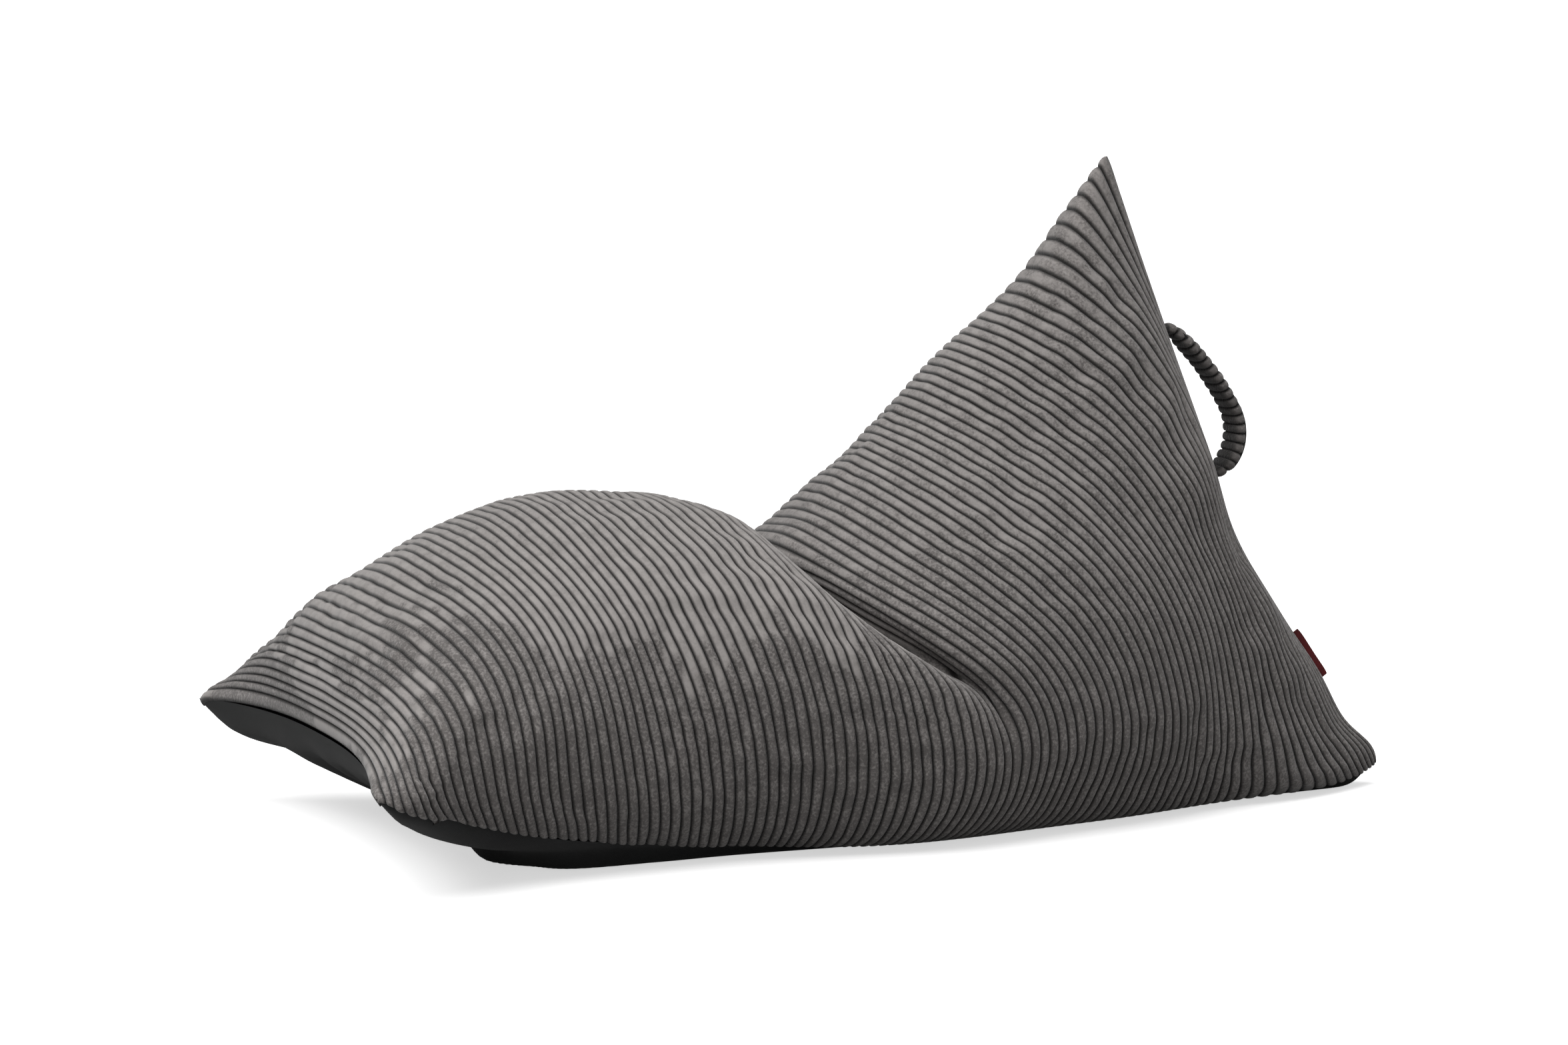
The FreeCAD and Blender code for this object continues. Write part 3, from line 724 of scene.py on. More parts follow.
# ------------------------------------------------------------------------------ finishes
@dataclass(frozen=True)
class Corduroy:
    """Wide-rib corduroy: a brushed pile in random lighter and darker patches, with painted light and shade
    laid over them and painted shade in the grooves.
    """

    name: str = "corduroy"
    light: Colour = (0.305, 0.285, 0.274)
    dark: Colour = (0.126, 0.116, 0.111)
    # Painted shade: the colour that the grooves between ribs and the strap's inner face are darkened to.
    groove: Colour = (0.018, 0.0165, 0.0155)
    roughness: float = 0.92
    sheen: float = 0.25
    grain_depth: float = 0.0006
    rough_depth: float = 0.0028
    grain_scale: float = 300.0

    def material(self) -> bpy.types.Material:
        """Pile colour from a per-point tone of random brushed patches with painted light and shade, painted
        shade in the grooves and where the tone drops below zero, and a grain bump.
        """
        material, nodes, shader = new_material(self.name)
        nap_and_shade = nodes.add("Attribute", attribute_name="nap_and_shade").outputs["Fac"]
        rib = nodes.add("SeparateXYZ", Vector=nodes.add("UVMap", uv_map="ribs").outputs[0]).outputs["X"]
        away = nodes.math("ABSOLUTE", nodes.math("SUBTRACT", nodes.math("FRACT", rib), 0.5))
        # Painted shade: darker towards the groove between ribs, and wherever the tone drops below zero, as on
        # the strap's inner face.
        groove = nodes.math("MAXIMUM", nodes.ramp(away, 0.21, 0.48), nodes.ramp(nap_and_shade, -1.0, 0.0, 1.0, 0.0))
        grain = Group.GRAIN.place(nodes, Scale=self.grain_scale, Coarseness=0.45)
        where = nodes.add("TexCoord").outputs["Object"]
        patch = nodes.ramp(nodes.scaled_noise(where, 60.0, 4.0, 0.65), 0.35, 0.65, -0.16, 0.16)
        # Tone of the pile: random brushed patches plus the painted light and shade held in the attribute.
        share = nodes.math("ADD", nap_and_shade, patch)
        matted = nodes.ramp(share, 0.25, 0.80, 1.0, 0.0)
        size = nodes.math("MULTIPLY_ADD", matted, 0.75, 0.20)
        speck = nodes.math("MULTIPLY", nodes.math("SUBTRACT", grain.outputs["Speckle"], 0.5), size)
        pile = nodes.mix(nodes.math("ADD", share, speck), self.dark, self.light)
        nodes.feeds(shader, Base_Color=nodes.mix(groove, pile, self.groove), Roughness=self.roughness,
                    Sheen_Weight=self.sheen, Sheen_Roughness=0.5, Specular_IOR_Level=0.2)
        depth = nodes.math("MULTIPLY_ADD", matted, self.rough_depth - self.grain_depth, self.grain_depth)
        nodes.relief(shader, 1.0, depth, grain.outputs["Height"])
        return material


@dataclass(frozen=True)
class WovenCloth:
    """Plain woven cloth with a faint change of shade."""

    name: str
    colour: Colour
    shade: Colour
    threads: float = 1400.0
    depth: float = 0.00025
    roughness: float = 0.85
    sheen: float = 0.1

    def material(self) -> bpy.types.Material:
        """Shade by a slow noise and grain, bump by the weave."""
        material, nodes, shader = new_material(self.name)
        weave = Group.WEAVE.place(nodes, Threads_per_metre=self.threads)
        grain = Group.GRAIN.place(nodes, Scale=400.0, Coarseness=0.5)
        where = nodes.add("TexCoord").outputs["Object"]
        slow = nodes.ramp(nodes.scaled_noise(where, 9.0, 3.0), 0.35, 0.65)
        share = nodes.math("MULTIPLY_ADD", grain.outputs["Speckle"], 0.35, nodes.math("MULTIPLY", slow, 0.65))
        nodes.feeds(shader, Base_Color=nodes.mix(share, self.colour, self.shade), Roughness=self.roughness,
                    Sheen_Weight=self.sheen, Specular_IOR_Level=0.25)
        nodes.relief(shader, 0.8, self.depth, weave.outputs["Height"])
        return material


@dataclass(frozen=True)
class Metal:
    """Cast zip metal, a little worn."""

    name: str
    colour: Colour
    worn: Colour
    roughness: float = 0.38

    def material(self) -> bpy.types.Material:
        """Metal whose roughness and shade follow a fine grain."""
        material, nodes, shader = new_material(self.name)
        grain = Group.GRAIN.place(nodes, Scale=900.0, Coarseness=0.6)
        height = grain.outputs["Height"]
        rough = nodes.ramp(height, 0.3, 0.7, self.roughness - 0.08, self.roughness + 0.12)
        shade = nodes.mix(grain.outputs["Speckle"], self.colour, self.worn)
        nodes.feeds(shader, Base_Color=shade, Metallic=1.0, Roughness=rough)
        nodes.relief(shader, 0.3, 0.1 * MM, height)
        return material


@dataclass(frozen=True)
class Moulded:
    """Moulded plastic with a faint grain, for zip teeth."""

    name: str
    colour: Colour
    roughness: float = 0.45

    def material(self) -> bpy.types.Material:
        """One colour, a shade lighter on the grain's high spots."""
        material, nodes, shader = new_material(self.name)
        grain = Group.GRAIN.place(nodes, Scale=500.0, Coarseness=0.5)
        lighter = tuple(1.5 * c for c in self.colour)
        height = grain.outputs["Height"]
        nodes.feeds(shader, Base_Color=nodes.mix(grain.outputs["Speckle"], self.colour, lighter),
                    Roughness=nodes.ramp(height, 0.3, 0.7, self.roughness, 0.6))
        nodes.relief(shader, 0.3, 0.1 * MM, height)
        return material


@dataclass(frozen=True)
class FoamBeads:
    """Expanded polystyrene beads, a few millimetres across."""

    name: str = "beads"
    colour: Colour = (0.82, 0.82, 0.80)
    # Painted shade between the beads.
    gap: Colour = (0.30, 0.30, 0.30)
    across: float = 0.005

    def material(self) -> bpy.types.Material:
        """Round cells of a Voronoi texture, with painted shade between them."""
        material, nodes, shader = new_material(self.name)
        where = nodes.add("TexCoord").outputs["Object"]
        cells = nodes.add("TexVoronoi", Vector=where, Scale=1 / self.across)
        distance = cells.outputs["Distance"]
        # Painted shade: darker towards the cell edges, in the gaps between beads.
        share = nodes.ramp(distance, 0.35, 0.75)
        nodes.feeds(shader, Base_Color=nodes.mix(share, self.colour, self.gap), Roughness=0.6)
        nodes.relief(shader, 1.0, 2 * MM, nodes.math("SUBTRACT", 1.0, distance))
        return material


class Slot(Enum):
    """The record's material slots, each with its finish."""

    CORDUROY = Corduroy()
    BASE_CLOTH = WovenCloth("base_cloth", (0.014, 0.0145, 0.0145), (0.024, 0.025, 0.025), 900.0)
    LINER_CLOTH = WovenCloth("liner_cloth", (0.42, 0.42, 0.41), (0.50, 0.50, 0.49), 1100.0)
    BEADS = FoamBeads()
    ZIP_TAPE = WovenCloth("zip_tape", (0.012, 0.012, 0.012), (0.022, 0.022, 0.022), 1600.0)
    ZIP_TEETH = Moulded("zip_teeth", (0.015, 0.015, 0.016))
    ZIP_METAL = Metal("zip_metal", (0.20, 0.20, 0.21), (0.42, 0.42, 0.43))
    WEBBING = WovenCloth("webbing", (0.012, 0.012, 0.012), (0.026, 0.025, 0.024), 500.0, 0.0004)
    LABEL_CLOTH = WovenCloth("label_cloth", (0.115, 0.009, 0.011), (0.018, 0.006, 0.007), 1500.0)

    def dress(self, piece: Piece, body: str | None = None, replaces: tuple[str, ...] = ()) -> None:
        """Gives a piece this slot's finish; a new piece is also hung on the body it rides on, and the CAD
        nodes it stands for are hidden.

        Args:
            piece: a new piece, or a CAD node that keeps its shape.
            body: the body that a new piece rides on.
            replaces: the CAD nodes that a new piece stands for.
        """
        material = bpy.data.materials.get(f"{self.value.name}_finish") or self.value.material()
        piece.data.materials.clear()
        piece.data.materials.append(material)
        if body is None:
            log.info("%s keeps its shape, in %s", piece.name, self.value.name)
            return
        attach(piece, body)
        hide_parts(*replaces)
        log.info("%s: %d faces in %s on %s", piece.name, len(piece.data.polygons), self.value.name, body)


# ------------------------------------------------------------------------------ stuffing the bag
@dataclass(frozen=True)
class Stuffing:
    """Cloth simulation of the filled bag on a coarse cage, kept as a field of small moves.

    The cage has one row per rib and is pinned along both end seams and where it lies on the
    floor.  Pressure fills it, its cloth is cut a little slack, and no point may move further
    than the cap.
    """

    pressure: float = 0.35
    slack: float = -0.012
    frames: int = 20
    cap: float = 4.5 * MM
    column_step: int = 6
    left_out: int = 5
    pinned_rows: int = 1
    pinned_height: float = 0.022
    fold_width: float = 0.07

    SETTINGS = {"quality": 6, "mass": 0.004, "tension_stiffness": 25, "compression_stiffness": 25,
                "shear_stiffness": 8, "bending_stiffness": 0.6, "use_pressure": True,
                "vertex_group_mass": "pins"}

    def moves(self, grid: ClothGrid) -> Array:
        """Simulates the cage and spreads its moves over the fine grid.

        Args:
            grid: the fine grid.
        """
        whole = np.flatnonzero(grid.rib == np.floor(grid.rib))[self.left_out:-self.left_out]
        picked = np.arange(0, grid.points.shape[1], self.column_step)
        start = grid.points[whole][:, picked]
        moved = self.simulate(start)
        normal = grid_normals(start)
        rise = ((moved - start) * normal).sum(axis=-1, keepdims=True)
        log.info("stuffing: largest rise %.1f mm, mean %.1f mm", rise.max() / MM, rise.mean() / MM)
        shift = normal * self.cap * np.tanh((rise - rise.mean()) / self.cap)
        shift[[0, -1]] = 0.0
        near_fold = Bump(1.0, grid.fold, self.fold_width).at(grid.station)
        return self.spread(shift, grid, whole, picked) * (1 - near_fold)[:, None, None]

    def spread(self, shift: Array, grid: ClothGrid, whole: Array, picked: Array) -> Array:
        """Interpolates the cage's moves to every row and column of the fine grid."""
        columns = grid.points.shape[1]
        ring = np.concatenate([shift, shift[:, :1]], axis=1)
        places = np.append(picked, columns)
        left = np.clip(np.searchsorted(places, np.arange(columns), side="right") - 1, 0, len(places) - 2)
        share = (np.arange(columns) - places[left]) / (places[left + 1] - places[left])
        share = smoothstep(0, 1, share)[None, :, None]
        wide = ring[:, left] * (1 - share) + ring[:, left + 1] * share
        low = np.clip(np.searchsorted(grid.rib[whole], grid.rib, side="right") - 1, 0, len(whole) - 2)
        share = smoothstep(0, 1, grid.rib - grid.rib[whole][low])[:, None, None]
        return wide[low] * (1 - share) + wide[low + 1] * share

    def simulate(self, start: Array) -> Array:
        """Runs Blender's cloth on the cage and returns its settled points."""
        rows, columns = start.shape[:2]
        cage = make_mesh("stuffing_cage", start, grid_faces(rows, columns, closed=True))
        pins = cage.vertex_groups.new(name="pins")
        row = np.repeat(np.arange(rows), columns)
        held = (row < self.pinned_rows) | (row >= rows - self.pinned_rows)
        held |= start.reshape(-1, 3)[:, 2] < self.pinned_height
        pins.add(np.flatnonzero(held).tolist(), 1.0, "REPLACE")
        cloth = cage.modifiers.new("cloth", "CLOTH")
        settings = cloth.settings
        for name, value in self.SETTINGS.items():
            setattr(settings, name, value)
        settings.uniform_pressure_force = self.pressure
        settings.shrink_min = self.slack
        settings.effector_weights.gravity = 0.0
        cloth.collision_settings.use_collision = False
        cloth.collision_settings.use_self_collision = False
        scene = bpy.context.scene
        cloth.point_cache.frame_start, cloth.point_cache.frame_end = 1, self.frames
        for frame_number in range(1, self.frames + 1):
            scene.frame_set(frame_number)
        settled = cage.evaluated_get(bpy.context.evaluated_depsgraph_get())
        places = np.empty(rows * columns * 3, np.float32)
        settled.data.vertices.foreach_get("co", places)
        scene.frame_set(1)
        bpy.data.objects.remove(cage, do_unlink=True)
        return places.astype(float).reshape(rows, columns, 3)


# ------------------------------------------------------------------------------ the bag
class Ribs(Enum):
    """Places of the rows within one rib: closer together in the groove, where the pile turns down."""

    FINE = (0.0, 0.06, 0.19, 0.38, 0.62, 0.81, 0.94)
    PLAIN = (0.0, 0.5)


@dataclass(frozen=True)
class NapAndShade:
    """How the pile lies, with painted light and shade in it: random brushed patches, painted light on the
    seat's top and up the backrest's middle, and painted shade on the flanks, darker towards the bottom.

    Heights are shares of the bag's, widths along a rib are in metres, and tones run from 0 to 1.
    """

    rib_step: float = 0.020
    slow: Ripple = Ripple(24, 0.42, 21)
    quick: Ripple = Ripple(7, 0.16, 22)
    fine: Ripple = Ripple(2.2, 0.05, 23)
    seat_height: float = 0.34
    front_drop: float = 0.09
    seat_fade: float = 0.12
    back_reach: float = 0.20
    peak_reach: float = 0.25
    back_fade: float = 0.06
    edge: float = 0.14
    dark: float = 0.20
    painted_shade_range: float = 0.20
    light: float = 0.84
    back_loss: float = 0.26

    def tone(self, rib: Array, run: Array, height: Array, fold: float, ribs: int) -> Array:
        """Tone of the pile, in patches whose edges step from rib to rib, with painted light on the seat's top
        and the backrest's middle and painted shade towards the bottom.

        Args:
            rib: rib numbers.
            run: metres along the ribs.
            height: heights, as shares of the bag's.
            fold: the rib number of the crease.
            ribs: how many ribs there are.

        Returns:
            0 for dark pile to 1 for light pile, painted light and shade included.
        """
        whole = np.floor(rib)
        place = run + self.rib_step * wave_noise(whole * 0.31, whole * 0.17, 31)
        slow, quick, fine = (ripple.at(rib, place) for ripple in (self.slow, self.quick, self.fine))
        back = smoothstep(fold - 1.5, fold + 0.5, rib)
        up_back = np.clip((rib - fold) / (ribs - fold), 0, 1)
        front = self.front_drop * (1 - smoothstep(0, 20, rib))
        # Painted light: lighter above the seat's line, a little lower at the front, and across the backrest's
        # middle.
        on_seat = (height - self.seat_height + front) / self.seat_fade
        on_back = (self.back_reach + self.peak_reach * up_back ** 2 - np.abs(run)) / self.back_fade
        level = np.clip(on_seat * (1 - back) + on_back * back, -1.6, 1.6)
        share = smoothstep(-self.edge, self.edge, level + 0.36 * slow + 0.30 * quick + 0.10 * fine)
        # Painted shade: the dark pile darkens towards the bottom.
        dark_tone_with_shade = self.dark + self.painted_shade_range * smoothstep(0.08, 0.50, height)
        patches = dark_tone_with_shade + (self.light - self.back_loss * back - dark_tone_with_shade) * share
        return np.clip(patches + 0.05 * slow + 0.04 * fine, 0, 1)


@dataclass
class BeanBag:
    """The stuffed bag: corduroy cover, base panels, inner liner and bead fill."""

    shape: BagShape
    rib_height: float = 4.6 * MM
    rib_sink: float = 2.7 * MM
    rib_power: float = 2.15
    hem_round: float = 7 * MM
    base_inset: float = 5 * MM
    liner_inset: float = 12 * MM
    fill_inset: float = 17 * MM
    belly: float = 31 * MM
    base_fold: float = 5 * MM
    base_fold_pitch: float = 0.135
    floor_gap: float = 0.6 * MM
    zip_room: float = 0.8 * MM
    zip_bank: float = 12 * MM
    zip_end: float = 18 * MM
    fill: float = 0.7
    slow_sag: Ripple = Ripple(30, 0.42, 3)
    quick_sag: Ripple = Ripple(9, 0.16, 8)
    nap_and_shade: NapAndShade = NapAndShade()
    stuffing: Stuffing = field(default_factory=Stuffing)

    def __post_init__(self) -> None:
        """Lays the closed cloth grids that the pieces are cut from, and stuffs the cover's."""
        self.source = BagGrid(self.shape)
        self.plain = self.source.build(Ribs.PLAIN.value)
        self.grid = self.source.build(Ribs.FINE.value)
        self.grid.points = self.grid.points + self.stuffing.moves(self.grid)
        log.info("bag grid: %d ribs, %s points", self.grid.ribs, self.grid.points.shape)

    def cloth_places(self, grid: ClothGrid) -> tuple[Array, Array]:
        """Rib number, and metres along the rib from the crest, at each point of a grid."""
        points = grid.points
        step = np.linalg.norm(np.diff(points, axis=1), axis=-1)
        run = np.concatenate([np.zeros((len(points), 1)), np.cumsum(step, axis=1)], axis=1)
        middle = grid.cover_count // 2
        run = run - run[:, middle:middle + 1]
        return np.broadcast_to(grid.rib[:, None], run.shape), run

    def sag(self, points: Array, rib: Array, run: Array) -> Array:
        """Small hollows and swells of a filled cloth: a slow noise across and along the ribs.

        Args:
            points: places of the grid.
            rib: rib numbers.
            run: metres along the ribs.

        Returns:
            Heights along the normal, in metres.
        """
        above = smoothstep(0.02, 0.10, points[..., 2])
        ends = smoothstep(0, 6, rib) * smoothstep(0, 6, self.grid.ribs - rib)
        hollows = 2.2 * MM * self.slow_sag.at(rib, run) + 0.8 * MM * self.quick_sag.at(rib, run)
        return above * ends * hollows

    def above_floor(self, points: Array) -> Array:
        """Keeps every point just over the floor."""
        points = points.copy()
        points[..., 2] = np.maximum(points[..., 2], self.floor_gap)
        return points

    def cover(self) -> Piece:
        """Corduroy cover: ribs stand along the normal, the hem and both end seams turn in.

        A rib's height is the square root of one less a power of how far a point is from its
        middle, so its flanks drop steeply into the groove.
        """
        grid = self.grid
        rib, run = self.cloth_places(grid)
        normal = grid_normals(grid.points)
        points = grid.points + normal * self.sag(grid.points, rib, run)[..., None]
        normal = grid_normals(points)
        phase = np.abs(2 * (grid.rib % 1.0) - 1.0)
        height = np.sqrt(np.clip(1 - phase ** self.rib_power, 0, 1)) * self.rib_height - self.rib_sink
        points = points + normal * height[:, None, None]
        count = grid.cover_count
        points, normal, rib, run = points[:, :count], normal[:, :count], rib[:, :count], run[:, :count]
        edge = np.minimum(run - run[:, :1], run[:, -1:] - run)
        turn = np.clip(1 - edge / self.hem_round, 0, 1)
        away = smoothstep(2, 10, grid.ribs - grid.rib)[:, None]
        points = points - normal * (self.hem_round * (1 - np.sqrt(1 - turn ** 2)) * away)[..., None]
        points = self.above_floor(points)
        front = self.front_hem(points[0], normal[0])
        points[-1, :, 0] = 0.0
        rows = np.concatenate([front[None], points])
        piece = make_mesh("corduroy_cover", rows, grid_faces(*rows.shape[:2]))
        rib, run = np.concatenate([rib[:1], rib]), np.concatenate([run[:1], run])
        set_uv(piece, "ribs", np.stack([rib, run], axis=-1))
        fold = self.source.crease.at_flank * grid.ribs
        # Tone of random brushed patches with painted light and shade: lit on the seat's top and the
        # backrest's middle, darker towards the bottom.
        tone = self.nap_and_shade.tone(rib, run, rows[..., 2] / self.shape.height, fold, grid.ribs)
        set_attribute(piece, "nap_and_shade", tone)
        Slot.CORDUROY.dress(piece, "root", ("cover_upper",))
        return piece

    def front_hem(self, edge: Array, normal: Array) -> Array:
        """Row that turns the cover's front edge into the seam, inwards and to its middle height.

        Args:
            edge: the edge's points.
            normal: the cloth's normals there.

        Returns:
            The turned row.
        """
        seam = self.shape.skin(np.zeros(1), np.array([math.pi / 2]))[0]
        inside = edge.copy()
        inside[:, 0] *= 1 - self.hem_round / (self.shape.width / 2)
        inside[:, 1] += self.hem_round
        inside[:, 2] -= np.abs(normal[:, 2]) * self.hem_round * 0.6 * np.sign(edge[:, 2] - seam[2] * 0.98)
        return inside

    def base_heights(self, points: Array, under: Array) -> Array:
        """Heights of the base cloth: it rests on the floor, and a channel in it holds the outer zip.

        Args:
            points: the base cloth's points, rows by columns.
            under: how far across the base each column is, 0 to 1.

        Returns:
            The new heights.
        """
        height = points[..., 2]
        inner = smoothstep(0.03, 0.10, under) * (1 - smoothstep(0.90, 0.97, under))
        flat = inner * (1 - smoothstep(12 * MM, 30 * MM, height))
        height = height + flat * np.minimum(2 * self.floor_gap - height, 0)
        low, high = (np.array(corner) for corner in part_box("outer_zip_tape_left"))
        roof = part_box("outer_zip_slider")[1][2] + self.zip_room
        bank = high[0] + 1 * MM
        beside = 1 - smoothstep(bank, bank + self.zip_bank, np.abs(points[..., 0]))
        along = points[..., 1]
        beyond = np.maximum(low[1] - along, along - high[1]) - 2 * MM
        channel = beside * (1 - smoothstep(0, self.zip_end, beyond)) * (under > 0) * (under < 1)
        return height + channel * np.maximum(roof - height, 0)

    def base_panels(self) -> list[Piece]:
        """Two panels of smooth base cloth, a little inside the corduroy, folded softly at the front."""
        grid = self.plain
        across, _, height = np.moveaxis(grid.points, -1, 0)
        folds = np.sin(2 * math.pi * across / self.base_fold_pitch + 1.5 * np.sin(9 * across))
        folds *= self.base_fold * smoothstep(0.004, 0.06, height) * smoothstep(0.5, 4, grid.rib)[:, None]
        under = np.clip((grid.column - 1) / 2, 0, 1)
        fullness = 4.5 - 3.5 * smoothstep(0.03, 0.13, grid.station)
        round_under = 1 - np.abs(2 * under - 1) ** fullness[:, None]
        drop = smoothstep(0.0, 0.018, grid.station) * (1 - smoothstep(0.13, 0.26, grid.station))
        points = grid.points + grid_normals(grid.points) * (folds - self.base_inset)[..., None]
        points[..., 2] -= self.belly * drop[:, None] * round_under
        points = self.above_floor(points)
        points[..., 2] = self.base_heights(points, under)
        bottom = np.concatenate([points[:, grid.cover_count - 1:], points[:, :1]], axis=1)
        middle = bottom.shape[1] // 2
        pieces = []
        for side, part in (("left", bottom[:, :middle + 1]), ("right", bottom[:, middle:])):
            piece = make_mesh(f"base_panel_{side}_cloth", part, grid_faces(*part.shape[:2]))
            Slot.BASE_CLOTH.dress(piece, "root", (f"base_panel_{side}",))
            pieces.append(piece)
        return pieces

    def inner(self, name: str, inset: float, slot: Slot, replaces: tuple[str, ...]) -> Piece:
        """A closed bag inside the cover, at this inset, following the same crease.

        Args:
            name: the piece's name.
            inset: how far inside the cover's skin it lies.
            slot: its finish.
            replaces: the CAD nodes it stands for.

        Returns:
            The piece.
        """
        grid = self.plain
        inside = (grid.rib > 3) & (grid.rib < grid.ribs - 3)
        points = grid.points[inside][:, ::2]
        points = points - grid_normals(points) * inset
        first = np.full(points.shape[1], grid.station[inside][0])
        angle = self.source.angles(first, grid.column[::2])
        flat = (self.shape.skin(first, angle) + self.shape.skin(first, math.pi - angle)) / 2
        flat[:, 0] = points[0, :, 0]
        rear = points[-1] * np.array([0.0, 1.0, 1.0])
        points = np.concatenate([flat[None], points, rear[None]])
        points[..., 2] = np.maximum(points[..., 2], inset)
        piece = make_mesh(name, points, grid_faces(*points.shape[:2], closed=True))
        slot.dress(piece, "root", replaces)
        return piece

    def build(self) -> None:
        """Makes the bag's four kinds of piece."""
        self.cover()
        self.base_panels()
        self.inner("inner_liner", self.liner_inset, Slot.LINER_CLOTH, ("liner_upper", "liner_base"))
        self.inner("polystyrene_fill", self.fill_inset, Slot.BEADS, ("bead_fill",))


# ------------------------------------------------------------------------------ the handle
@dataclass
class CarryHandle:
    """Corduroy strap on the rear seam, sewn as a flat tube over a woven band."""

    shape: BagShape
    width: float = 50 * MM
    thickness: float = 16 * MM
    bow: float = 49 * MM
    low_share: float = 0.505
    high_share: float = 0.735
    bead_pitch: float = 12.0 * MM
    bead_height: float = 4.2 * MM
    rows_per_bead: int = 10
    columns: int = 56
    root_width: float = 22 * MM
    root_thickness: float = 0.65
    bead_power: float = 2.2
    flatness: tuple[float, float] = (0.62, 0.80)
    crown: float = 1.2 * MM
    fill: float = 0.8

    LOOP = np.array([(0.0, 0.02), (0.015, 0.12), (0.04, 0.22), (0.10, 0.33), (0.26, 0.60),
                     (0.41, 0.80), (0.56, 0.94), (0.68, 1.00), (0.79, 0.92), (0.88, 0.72),
                     (0.94, 0.46), (0.975, 0.22), (0.99, 0.02)])

    def path(self) -> tuple[Array, Array, Array]:
        """Middle line of the loop, a Catmull-Rom spline through its points.

        Each point is given as a share of the chord between the roots and of the bow.

        Returns:
            Evenly spaced places, the tangents there, and how many beads along each place is.
        """
        top, span, down, out = self.shape.seam_frame(self.low_share, self.high_share)
        knots = top + self.LOOP[:, :1] * span * down + self.LOOP[:, 1:] * self.bow * out
        padded = np.concatenate([2 * knots[:1] - knots[1:2], knots, 2 * knots[-1:] - knots[-2:-1]])
        t = np.linspace(0, 1, 40, endpoint=False)[:, None]
        parts = []
        for a, b, c, d in zip(padded, padded[1:], padded[2:], padded[3:]):
            parts.append(0.5 * (2 * b + (c - a) * t + (2 * a - 5 * b + 4 * c - d) * t ** 2
                                + (3 * b - a - 3 * c + d) * t ** 3))
        line = np.concatenate(parts + [knots[-1:]])
        run = run_length(line)
        beads = int(round(run[-1] / self.bead_pitch))
        even = np.linspace(0, run[-1], beads * self.rows_per_bead + 1)
        places = np.stack([np.interp(even, run, line[:, k]) for k in range(3)], axis=-1)
        return places, unit(np.gradient(places, axis=0)), np.arange(len(even)) / self.rows_per_bead

    def sleeve(self) -> Piece:
        """Strap with its ribs across it: a rounded flat section whose size swells with each bead.

        The section is a superellipse; a bead's swell is the square root of one less the square of
        how far a row is from the bead's middle.
        """
        places, tangent, beads = self.path()
        side = np.array([1.0, 0.0, 0.0])
        normal = np.cross(tangent, side)
        angle = np.linspace(0, 2 * math.pi, self.columns, endpoint=False)
        phase = np.abs(2 * (beads % 1.0) - 1.0)
        swell = np.sqrt(np.clip(1 - phase ** self.bead_power, 0, 1)) * self.bead_height
        gather = smoothstep(-0.5, 3.2, beads) * smoothstep(-0.5, 2.2, beads[-1] - beads)
        wander = wave_noise(beads / 4, np.zeros_like(beads), 77) * 0.5 * MM
        width = self.root_width + (self.width - self.root_width) * gather
        thickness = (self.root_thickness + (1 - self.root_thickness) * gather) * self.thickness
        across, through = (signed_power(wave, power)
                           for wave, power in zip((np.cos(angle), np.sin(angle)), self.flatness))
        x = across * (width / 2 - self.bead_height + wander + swell)[:, None]
        depth = through * (thickness / 2 - self.bead_height + swell)[:, None]
        depth += self.crown * (1 - np.abs(across)) * np.sign(through)
        points = places[:, None] + x[..., None] * side + depth[..., None] * normal[:, None]
        caps = [np.repeat(places[[k]], self.columns, axis=0)[None] for k in (0, -1)]
        rows = np.concatenate([caps[0], points, caps[1]])
        faces = grid_faces(*rows.shape[:2], closed=True)[:, ::-1]
        piece = make_mesh("handle_sleeve_corduroy", rows, faces)
        number = np.concatenate([beads[:1], beads, beads[-1:]])
        rib = np.broadcast_to(number[:, None], rows.shape[:2])
        around = np.broadcast_to(np.linspace(0, 0.12, self.columns)[None], rows.shape[:2])
        set_uv(piece, "ribs", np.stack([rib, around], axis=-1))
        # Painted shade: the whole strap is darkened a little and its inner face, towards the bag, much more;
        # the small ripple is the pile's own change of tone.
        inside = smoothstep(0.1, 0.8, through) * (1 - np.abs(across) ** 4)
        shade = -0.10 - 0.80 * inside[None] + 0.08 * Ripple(6, 0.05, 41).at(rib, around)
        set_attribute(piece, "nap_and_shade", np.clip(shade, -1, 1))
        Slot.CORDUROY.dress(piece, "handle", ("handle_sleeve",))
        return piece

    def build(self) -> None:
        """Makes the sleeve, and dresses the band inside and the ends caught in the seam."""
        self.sleeve()
        Slot.WEBBING.dress(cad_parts["handle_webbing"])
        Slot.WEBBING.dress(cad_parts["handle_seam_tabs"])


